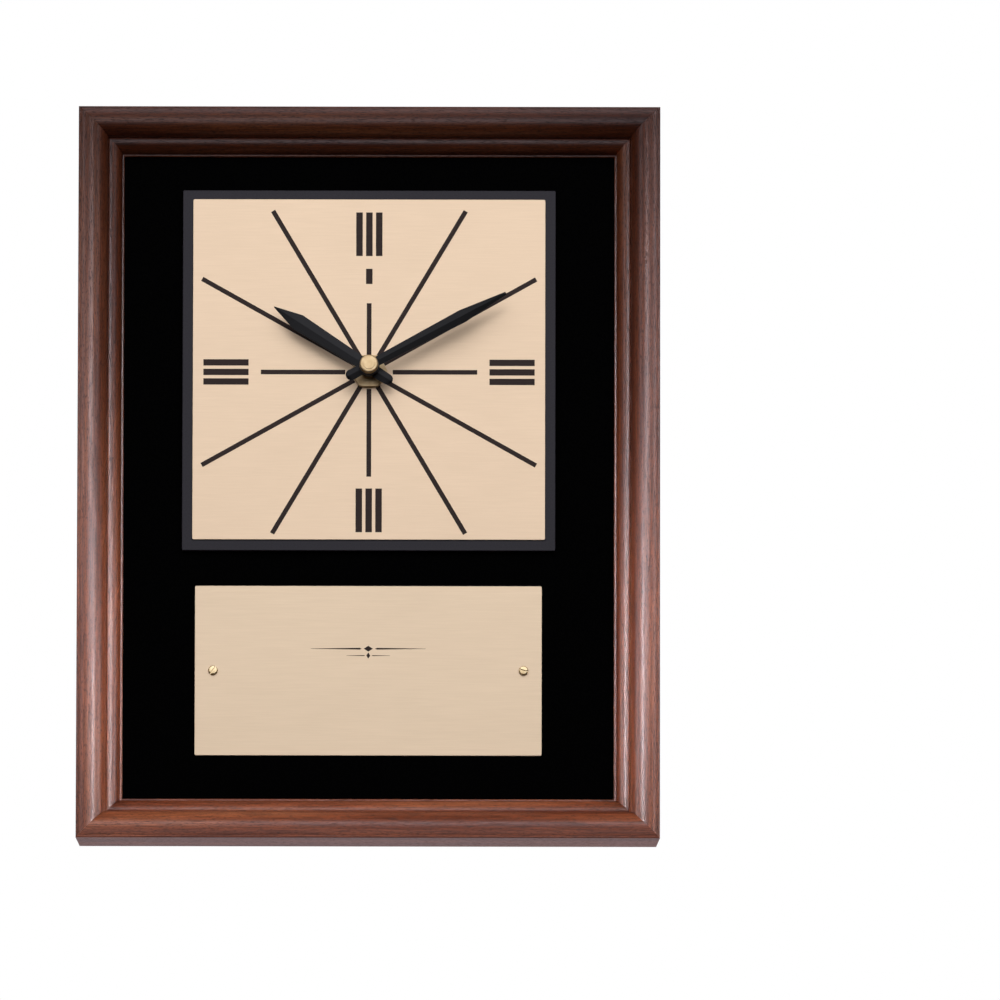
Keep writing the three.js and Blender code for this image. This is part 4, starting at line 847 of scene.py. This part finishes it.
sheet_plate(
    "clock_plate_black", "clock_base_plate", BASE_PLATE_EDGE, [dial_shaft], SHAFT_HOLE,
    PLATE_BLACK, "black_plate",
)
sheet_plate(
    "dial_brushed", "dial_plate", BRASS_PLATE_EDGE, [dial_shaft], SHAFT_HOLE,
    DIAL_BRASS, "brass_sheet",
)
sheet_plate(
    "engraving_plate_brushed", "engraved_plate", BRASS_PLATE_EDGE, screw_places, SCREW_HOLE,
    SHADED_PLATE_BRASS, "brass_sheet",
)


# Ink


def stroke(middle, angle, start, end, width, aside=0.0):
    """The corners of a straight mark that points away from the middle, at an angle clockwise from up."""
    turn = math.radians(angle)
    outward = UP * math.cos(turn) + ACROSS * math.sin(turn)
    sideways = ACROSS * math.cos(turn) - UP * math.sin(turn)
    corners = ((start, -0.5), (end, -0.5), (end, 0.5), (start, 0.5))
    return [middle + (outward * reach + sideways * (aside + side * width)) * MM for reach, side in corners]


def dial_strokes():
    """The hour marks: three bars and a line at the quarters, and a ray at every other hour."""
    strokes = []
    for angle in (0, 90, 180, 270):
        for place in (-1, 0, 1):
            strokes.append(stroke(dial_shaft, angle, BAR_START, MARK_REACH, BAR_WIDTH, place * BAR_SPACING))
    strokes.append(stroke(dial_shaft, 0, *TWELVE_BLOCK, BAR_WIDTH))
    lines = [(0, UPRIGHT_LINE_START, TWELVE_LINE_END), (180, UPRIGHT_LINE_START, LINE_END)]
    lines += [(angle, LINE_START, LINE_END) for angle in (90, 270)]
    lines += [(angle, RAY_START, RAY_END) for angle in RAY_ANGLES]
    return strokes + [stroke(dial_shaft, angle, start, end, LINE_WIDTH) for angle, start, end in lines]


def ink(name, outlines):
    """Flat marks, each the thickness of a coat of ink."""
    piece = open_piece(name)
    for outline in outlines:
        add_outline(outline)
    bpy.ops.mesh.select_all(action="SELECT")
    pull(FRONT * INK_THICK * MM)
    face_outwards()
    settle(piece, INK, "black_plate")


ink("dial_print", dial_strokes())

rule_middle = Vector((0, plate_front, middle_of("engraved_plate").z + RULE_RISE * MM))


def tapered_rule(middle, side, start, end, width):
    """Half a divider line: widest near the middle and drawn out to a point."""
    half = width / 2
    tip = RULE_TIP / 2
    corners = ((start, 0), (start + width, half), (end, tip), (end, -tip), (start + width, -half))
    return [middle + (ACROSS * side * reach + UP * rise) * MM for reach, rise in corners]


def lozenge(middle, half_width, half_height):
    """A small diamond."""
    corners = ((-half_width, 0), (0, half_height), (half_width, 0), (0, -half_height))
    return [middle + (ACROSS * x + UP * z) * MM for x, z in corners]


drop_middle = rule_middle - UP * DROP_BELOW * MM
divider = [lozenge(rule_middle, *LOZENGE), lozenge(drop_middle, *DROP_LOZENGE)]
for side in (-1, 1):
    divider.append(tapered_rule(rule_middle, side, RULE_START, RULE_REACH, RULE_WIDTH))
    divider.append(tapered_rule(drop_middle, side, RULE_START / 2, SHORT_RULE_REACH, RULE_WIDTH / 2))
ink("plate_divider", divider)


# Screws of the engraved plate


def slot_cutter(middle, angle, width, depth, reach, out=FRONT):
    """A bar that cuts a slot across a head whose top faces out."""
    start = middle + out * CUT_PAST * MM
    return prism("cutter", stroke(start, angle, -reach, reach, width), out * -(CUT_PAST + depth) * MM)


seats = [at_depth(place, plate_front) for place in screw_places]
screw_length = (box_of("plate_screw_left")[1].y - plate_front) / MM
shank = [(0, -screw_length), (SCREW_SHANK, SCREW_POINT - screw_length), (SCREW_SHANK, 0)]
shoulder = bent((SCREW_RADIUS, SCREW_EDGE), (SCREW_RADIUS, SCREW_CROWN[1]), SCREW_CROWN, SCREW_STEPS)
screw = turned("brass_screw_left", seats[0], [*shank, (SCREW_RADIUS, 0), *shoulder, (0, SCREW_HEIGHT)])
slot_middle = seats[0] + FRONT * SCREW_HEIGHT * MM
slot = slot_cutter(slot_middle, SCREW_TURNS[0], SCREW_SLOT, SCREW_SLOT_DEPTH, 2 * SCREW_RADIUS)
combine(screw, slot, "DIFFERENCE")
second_screw = copy_piece(
    screw, "brass_screw_right", seats[1] - seats[0], SCREW_TURNS[1] - SCREW_TURNS[0], seats[1],
)
settle_pair(screw, second_screw, LIT_SCREW_BRASS, "brass_hardware", "plate_screw")


# Hands


def blade_section(distance, width, back, thick):
    """The section of a blade that points up: flat back, upright edges, two slopes and a ridge."""
    edge = thick * HAND_EDGE
    points = [(width / 2, 0), (width / 2, edge), (0, thick), (-width / 2, edge), (-width / 2, 0)]
    return [back + UP * distance * MM + ACROSS * x * MM + FRONT * y * MM for x, y in points]


def hand(body, lift, thick, tail, widths, hub, angle):
    """A clock hand, named like its body: a ridged blade drawn out from its round tail, on a hub."""
    back = dial_shaft + FRONT * lift * MM
    radius = tail[1] / 2
    stations = []
    for step in range(1, TAIL_STEPS + 1):
        swing = math.pi / 2 * step / TAIL_STEPS
        stations.append((tail[0] + radius * (1 - math.cos(swing)), tail[1] * math.sin(swing)))
    stations += widths
    piece = open_piece(body + "_blade")
    add_outline(blade_section(*stations[0], back, thick))
    for (distance, width), (next_distance, next_width) in zip(stations, stations[1:]):
        pull(UP * (next_distance - distance) * MM)
        bpy.ops.transform.resize(
            value=(next_width / width, 1, 1), center_override=back + UP * next_distance * MM,
        )
    face_outwards()
    ridge = back.y - thick * MM
    select_edges(lambda a, b: max(a.y, b.y) < ridge + NEARLY)
    bpy.ops.mesh.mark_sharp()
    hub_radius, hub_proud = hub
    height = thick + hub_proud
    disc = turned("hub", back, [
        (0, 0), (hub_radius, 0), (hub_radius, height - HUB_EDGE),
        (hub_radius - HUB_EDGE, height), (0, height),
    ])
    combine(piece, disc, "UNION")
    pick(piece)
    bpy.ops.transform.rotate(value=-math.radians(angle), orient_axis="Y", center_override=dial_shaft)
    settle(piece, HAND_BLACK, "black_hands", body, body=body)


hand("hour_hand", HOUR_LIFT, HOUR_THICK, HOUR_TAIL, HOUR_WIDTHS, HOUR_HUB, HOUR_ANGLE)
hand("minute_hand", MINUTE_LIFT, MINUTE_THICK, MINUTE_TAIL, MINUTE_WIDTHS, MINUTE_HUB, MINUTE_ANGLE)


# Brass hardware at the shaft

cap_low, cap_high = box_of("cap_nut")
cap_height = (cap_high.y - cap_low.y) / MM
cap_ledge = cap_height - CAP_FACE_PROUD
cap_profile = [(0, 0), (CAP_RADIUS, 0), *round_top(CAP_RADIUS, cap_ledge, CAP_ROUND, CAP_STEPS)]
cap_profile += [(CAP_FACE, cap_ledge), (CAP_FACE - CAP_FACE_DRAFT, cap_height), (0, cap_height)]
cap = turned("cap_nut_brass", at_depth(shaft, cap_high.y), cap_profile)
settle(cap, HARDWARE_BRASS, "brass_hardware", "cap_nut", body="minute_hand")

washer_low, washer_high = box_of("bushing_washer")
washer_radius = washer_high.x / MM
washer_thick = (washer_high.y - washer_low.y) / MM
washer = turned("shaft_washer", at_depth(shaft, washer_high.y), [
    (BUSHING_BORE, 0), (washer_radius, 0), (washer_radius, washer_thick - WASHER_EDGE),
    (washer_radius - WASHER_EDGE, washer_thick), (BUSHING_BORE, washer_thick), (BUSHING_BORE, 0),
])
settle(washer, HARDWARE_BRASS, "brass_hardware", "bushing_washer")

nut_low, nut_high = box_of("bushing_nut")
nut_thick = (nut_high.y - nut_low.y) / MM
nut_foot = at_depth(shaft, nut_high.y)
nut_corner = NUT_ACROSS_FLATS / 2 / math.cos(math.pi / 6)
nut_outline = [nut_foot + radial(math.pi / 3 * k) * nut_corner * MM for k in range(6)]
nut = prism("shaft_nut", nut_outline, FRONT * nut_thick * MM)
nut_blank = turned("nut_blank", nut_foot, [
    (0, 0), (nut_corner - NUT_CHAMFER, 0), (nut_corner, NUT_CHAMFER / 2),
    (nut_corner, nut_thick - NUT_CHAMFER / 2), (nut_corner - NUT_CHAMFER, nut_thick), (0, nut_thick),
])
combine(nut, nut_blank, "INTERSECT")
drill(nut, nut_foot, BUSHING_BORE)
settle(nut, HARDWARE_BRASS, "brass_hardware", "bushing_nut")


# Back of the plaque: bumpers, hanger and its nails

bumper_low, bumper_high = box_of("wall_bumper_left")
bumper_foot = at_depth(middle_of("wall_bumper_left"), bumper_low.y)
bumper_size = (bumper_high - bumper_low) / MM
bumper_crown = dome(bumper_size.x / 2 - BUMPER_DRAFT, BUMPER_EDGE, bumper_size.y)[1:]
bumper = turned("bumper_left", bumper_foot, [(0, 0), (bumper_size.x / 2, 0)] + bumper_crown, axis=-FRONT)
second_bumper = copy_piece(bumper, "bumper_right", ACROSS * -2 * bumper_foot.x)
settle_pair(bumper, second_bumper, RUBBER, "rubber", "wall_bumper")

hanger_low, hanger_high = box_of("sawtooth_hanger")
hanger_half = hanger_high.x / MM
hanger_rise = (hanger_high.y - hanger_low.y) / MM - HANGER_THICK
hanger_height = hanger_high.z - hanger_low.z
nail_places = [middle_of("hanger_nail_left"), middle_of("hanger_nail_right")]


def hanger_line(lift):
    """One face of the hanger's strip, seen from above: foot, step up, bridge, step down, foot."""
    run_on = lift * math.tan(math.pi / 8)
    foot_end = hanger_half - HANGER_FOOT + run_on
    half_line = [(hanger_half, lift), (foot_end, lift), (foot_end - hanger_rise, hanger_rise + lift)]
    return half_line + [(-x, y) for x, y in reversed(half_line)]


def tooth_notches():
    """The notches between the teeth, cut up into the lower edge of the bridge."""
    cutter = open_piece("cutter")
    reach = hanger_half - HANGER_FOOT - hanger_rise - HANGER_TOOTH
    for step in range(int(2 * reach / HANGER_TOOTH) + 1):
        foot = Vector((0, hanger_low.y, hanger_low.z)) + ACROSS * (step * HANGER_TOOTH - reach) * MM
        half = HANGER_TOOTH / 2
        notch = ((-half, -CUT_PAST), (-half, 0), (0, HANGER_NOTCH), (half, 0), (half, -CUT_PAST))
        add_outline([foot + (ACROSS * x + UP * z) * MM for x, z in notch])
    bpy.ops.mesh.select_all(action="SELECT")
    pull(-FRONT * 2 * (hanger_high.y - hanger_low.y))
    face_outwards()
    return cutter


strip = hanger_line(0) + list(reversed(hanger_line(HANGER_THICK)))
strip_points = [Vector((x * MM, hanger_low.y + y * MM, hanger_low.z)) for x, y in strip]
hanger = prism("hanger_strip", strip_points, UP * hanger_height)
bend_reach = (hanger_half - HANGER_BEND) * MM
round_edges(lambda a, b: runs_along(UP, a, b) and abs(a.x) < bend_reach, HANGER_BEND, segments=3)
combine(hanger, tooth_notches(), "DIFFERENCE")
for place in nail_places:
    drill(hanger, place, NAIL_HOLE)
settle(hanger, ZINC, "zinc_steel", "sawtooth_hanger")

nail_low, nail_high = box_of("hanger_nail_left")
nail_length = (nail_high.y - nail_low.y) / MM
nail_neck = nail_length - NAIL_HEAD_HEIGHT
nail_head = dome((nail_high.x - nail_low.x) / 2 / MM, NAIL_HEAD_EDGE, NAIL_HEAD_HEIGHT)
nail = turned(
    "hanger_pin_left", at_depth(nail_places[0], nail_low.y),
    [(0, 0), (NAIL_RADIUS, NAIL_POINT), (NAIL_RADIUS, nail_neck)]
    + [(radius, nail_neck + height) for radius, height in nail_head],
    axis=-FRONT,
)
second_nail = copy_piece(nail, "hanger_pin_right", nail_places[1] - nail_places[0])
settle_pair(nail, second_nail, ZINC, "zinc_steel", "hanger_nail")


# Back of the movement: cover, setting knob and dry cell

cover_low, cover_high = box_of("movement_rear_cover")
lid_front = cover_high.y - COVER_THICK * MM
knob_low, knob_high = box_of("setting_knob")
knob_middle = middle_of("setting_knob")
cell_low, cell_high = box_of("battery_aa")
cell_middle = middle_of("battery_aa")
cell_length = (cell_high.x - cell_low.x) / MM - CELL_BUTTON_LENGTH
cell_radius = (cell_high.z - cell_low.z) / 2 / MM


def post(place, radius, front):
    """A hollow post that stands on the inside of the lid and reaches forward to a depth."""
    root = at_depth(place, lid_front + INTO_LID * MM)
    length = (root.y - front) / MM
    bore = POST_BORE
    return turned("post", root, [(bore, 0), (radius, 0), (radius, length), (bore, length), (bore, 0)])


cover = block("cover_lid", Vector((cover_low.x, lid_front, cover_low.z)), cover_high)
round_edges(lambda a, b: runs_along(FRONT, a, b), COVER_CORNER, segments=6)
round_edges(lambda a, b: min(a.y, b.y) > cover_high.y - NEARLY, COVER_EDGE, segments=3)
post_front = lid_front - POST_LENGTH * MM
for node in ("third_wheel", "fourth_wheel", "fifth_wheel", "rotor"):
    combine(cover, post(middle_of(node), POST_RADIUS, post_front), "UNION")
combine(cover, post(shaft, CENTRE_POST_RADIUS, cover_low.y), "UNION")
well_root = at_depth(knob_middle, lid_front + INTO_LID * MM)
well_length = (well_root.y - cover_high.y) / MM + WELL_DEPTH + WELL_FLOOR
combine(cover, rod("well", well_root, WELL_RADIUS + WELL_WALL, well_length), "UNION")
well_mouth = at_depth(knob_middle, cover_high.y + CUT_PAST * MM)
combine(cover, rod("well_room", well_mouth, WELL_RADIUS, WELL_DEPTH + CUT_PAST), "DIFFERENCE")
drill(cover, knob_middle, WELL_BORE)
window_half = Vector((cell_length / 2 + WINDOW_END_CLEAR, DRILL_LENGTH / 2, cell_radius + WINDOW_CLEAR)) * MM
window_middle = Vector((cell_middle.x - CELL_BUTTON_LENGTH / 2 * MM, cover_high.y, cell_middle.z))
combine(cover, block("cutter", window_middle - window_half, window_middle + window_half), "DIFFERENCE")
drill(cover, window_middle + UP * THUMB_RISE * MM, THUMB_RADIUS)
settle(cover, CASE_BLACK, "case_plastic", "movement_rear_cover")


def arc_arrow(middle, radius, start, end):
    """A curved mark with a point at its end, round a middle; angles in degrees anticlockwise from +X."""
    point = math.copysign(ARROW_POINT, end - start)
    points = []
    for side in (1, -1):
        for step in range(ARROW_STEPS + 1):
            share = step / ARROW_STEPS if side > 0 else 1 - step / ARROW_STEPS
            points.append((radius + side * MARK_WIDTH / 2, start + (end - start) * share))
        if side > 0:
            points += [(radius + ARROW_HALF, end), (radius, end + point), (radius - ARROW_HALF, end)]
    return [middle + radial(math.radians(angle)) * reach * MM for reach, angle in points]


marks = open_piece("cover_marks")
mark_face = cover_high.y - INTO_LID * MM
for start, end in ARROW_SWEEPS:
    add_outline(arc_arrow(at_depth(knob_middle, mark_face), ARROW_RADIUS, start, end))
plus = Vector((window_half.x - MARK_INSET * MM, mark_face, window_middle.z + window_half.z + MARK_RISE * MM))
minus = Vector((-plus.x, mark_face, plus.z))
end = MARK_LENGTH / 2
arm = MARK_WIDTH / 2
for middle, angle, start in ((plus, 0, -end), (plus, 90, arm), (plus, 270, arm), (minus, 90, -end)):
    add_outline(stroke(middle, angle, start, end, MARK_WIDTH))
bpy.ops.mesh.select_all(action="SELECT")
pull(-FRONT * (INTO_LID + MARK_PROUD) * MM)
face_outwards()
settle(marks, CASE_BLACK, "case_plastic")

knob_radius = (knob_high.x - knob_low.x) / 2 / MM
knob_thick = knob_high.y - knob_low.y
knob_points = []
for step in range(KNOB_RIBS * RIB_STEPS):
    angle = 2 * math.pi * step / (KNOB_RIBS * RIB_STEPS)
    reach = knob_radius - KNOB_RIB_DEPTH * (1 - math.cos(KNOB_RIBS * angle)) / 2
    knob_points.append(at_depth(knob_middle, knob_low.y) + radial(angle) * reach * MM)
knob = prism("knob_ribbed", knob_points, -FRONT * knob_thick)
round_edges(lambda a, b: min(a.y, b.y) > knob_high.y - NEARLY, KNOB_EDGE, segments=2)
knob_back = at_depth(knob_middle, knob_high.y)
knob_slot = slot_cutter(knob_back, 90, KNOB_SLOT, KNOB_SLOT_DEPTH, 2 * knob_radius, out=-FRONT)
combine(knob, knob_slot, "DIFFERENCE")
bore_foot = at_depth(knob_middle, knob_low.y + KNOB_BORE_DEPTH * MM)
combine(knob, rod("bore", bore_foot, WELL_BORE, 2 * KNOB_BORE_DEPTH), "DIFFERENCE")
settle(knob, WHEEL_WHITE, "wheel_plastic", "setting_knob", body="minute_wheel")

sleeve_profile = [(0, CELL_DISH), (CELL_DISC, CELL_DISH), (CELL_DISC + CELL_DISH, 0)]
sleeve_profile += bent((cell_radius - CELL_ROLL, 0), (cell_radius, 0), (cell_radius, CELL_ROLL), CELL_STEPS)
sleeve_profile += round_top(cell_radius, cell_length, CELL_ROLL, CELL_STEPS)
sleeve_profile += [(CELL_DISC, cell_length), (CELL_DISC - CELL_DISH, cell_length - CELL_DISH)]
sleeve_profile += [(CELL_BUTTON + CELL_DISH, cell_length - CELL_DISH), (CELL_BUTTON, cell_length)]
button_end = cell_length + CELL_BUTTON_LENGTH
sleeve_profile += [*round_top(CELL_BUTTON, button_end, CELL_DISH, BUTTON_STEPS), (0, button_end)]
cell = turned("dry_cell", Vector((cell_low.x, cell_middle.y, cell_middle.z)), sleeve_profile, axis=ACROSS)
settle(cell, CELL, "cell_jacket", "battery_aa")
cell.data.materials.append(ZINC)
for face in cell.data.polygons:
    if abs(face.normal.x) > BARE_END:
        face.material_index = 1

# Solids whose shape is right keep it and get their finish
CAD_FINISHES = {
    HARDBOARD: ["backing_board"],
    ZINC: [
        "battery_contact_negative", "battery_contact_positive", "quartz_crystal", "stator", "minute_arbor",
        *(f"v_nail_{k}" for k in range(1, 5)),
        *(f"framers_point_{k}" for k in range(1, 9)),
    ],
    HARDWARE_BRASS: ["threaded_bushing"],
    CASE_BLACK: ["movement_front_case"],
    WHEEL_WHITE: [
        "centre_wheel", "third_wheel", "fourth_wheel", "fifth_wheel", "rotor", "minute_wheel", "hour_wheel",
    ],
    SOLDER_MASK: ["circuit_board"],
    COPPER: ["coil"],
}
for material, nodes in CAD_FINISHES.items():
    for node in nodes:
        solid = bpy.data.objects[node]
        solid.data.materials.clear()
        solid.data.materials.append(material)


# Stage, light and camera

deselect_all()
bpy.ops.mesh.primitive_plane_add(size=FLOOR_SIZE, location=(0, 0, FLOOR_LEVEL))
floor = bpy.context.object
floor.name = "floor"
floor.data.materials.append(matt_floor_paint())
floor.visible_diffuse = False
floor.visible_glossy = False
floor.visible_shadow = False


def soft_box(name, place, aim, size, power, spread, lit):
    """A flat soft light that lights some rails alone, or all but the rails, or everything."""
    bpy.ops.object.light_add(type="AREA", location=place)
    light = bpy.context.object
    light.name = name
    light.rotation_euler = (Vector(aim) - Vector(place)).to_track_quat("-Z", "Y").to_euler()
    light.data.shape = "RECTANGLE"
    light.data.size, light.data.size_y = size
    light.data.energy = power
    light.data.color = colour(DAYLIGHT)[:3]
    light.data.spread = math.radians(spread)
    light.visible_camera = False
    if lit is EVERYTHING:
        return
    flags = bpy.data.collections.new(name + "_flags")
    for rail_name in lit or RAILS:
        flags.objects.link(bpy.data.objects[rail_name])
    light.light_linking.receiver_collection = flags
    for flag in flags.collection_objects:
        flag.light_linking.link_state = "INCLUDE" if lit else "EXCLUDE"


for name, setting in SOFT_BOXES.items():
    soft_box(name + "_light", *setting)
for name, (place, aim, size, powers, spread, rails) in SOFT_BOX_PAIRS.items():
    for sign, side, power, lit in zip((-1, 1), ("_left", "_right"), powers, rails):
        mirror = Vector((sign, 1, 1))
        soft_box(name + side, mirror * Vector(place), mirror * Vector(aim), size, power, spread, lit)

world = bpy.data.worlds.new("studio")
bpy.context.scene.world = world
world.use_nodes = True
sky = world.node_tree
sky.nodes.clear()
direction = add_node(sky, "TexCoord", output="Generated")
upward = add_node(sky, "SeparateXYZ", {"Vector": direction}, output="Z")
backward = add_node(sky, "SeparateXYZ", {"Vector": direction}, output="Y")
height = add_node(sky, "MapRange", {"Value": upward, "From Min": -1.0})
behind = add_node(sky, "MapRange", {"Value": backward, "From Min": -1.0})
room = add_node(sky, RAMP, {"Fac": height}, ROOM_GLOW)
wall = add_node(sky, RAMP, {"Fac": behind}, WALL_GLOW)
tinted = add_node(sky, BLEND, {FACTOR: 1.0, FIRST: wall, SECOND: WALL_TINT}, **MULTIPLIED)
glow = add_node(sky, BLEND, {FACTOR: 1.0, FIRST: room, SECOND: tinted}, **MIXED, blend_type="LIGHTEN")
surround = add_node(sky, "Background", {"Color": glow})
backdrop = add_node(sky, "Background", {"Color": "#ffffff"})
seen = add_node(sky, "LightPath", output="Is Camera Ray")
shown = add_node(sky, "MixShader", {0: seen, 1: surround, 2: backdrop})
add_node(sky, "OutputWorld", {"Surface": shown})
bpy.context.scene.view_settings.view_transform = "Standard"

rise = math.radians(CAMERA_RISE)
away = Vector((0, -math.cos(rise), math.sin(rise)))
bpy.ops.object.camera_add(location=Vector(CAMERA_TARGET) + away * CAMERA_DISTANCE)
camera = bpy.context.object
camera.rotation_euler = (math.pi / 2 - rise, 0, 0)
camera.rotation_euler.rotate_axis("Z", math.radians(CAMERA_ROLL))
camera.data.sensor_width = SENSOR
camera.data.lens = SENSOR * CAMERA_DISTANCE / (IMAGE_WIDTH * MM)
camera.data.clip_end = 2 * CAMERA_DISTANCE
bpy.context.scene.camera = camera
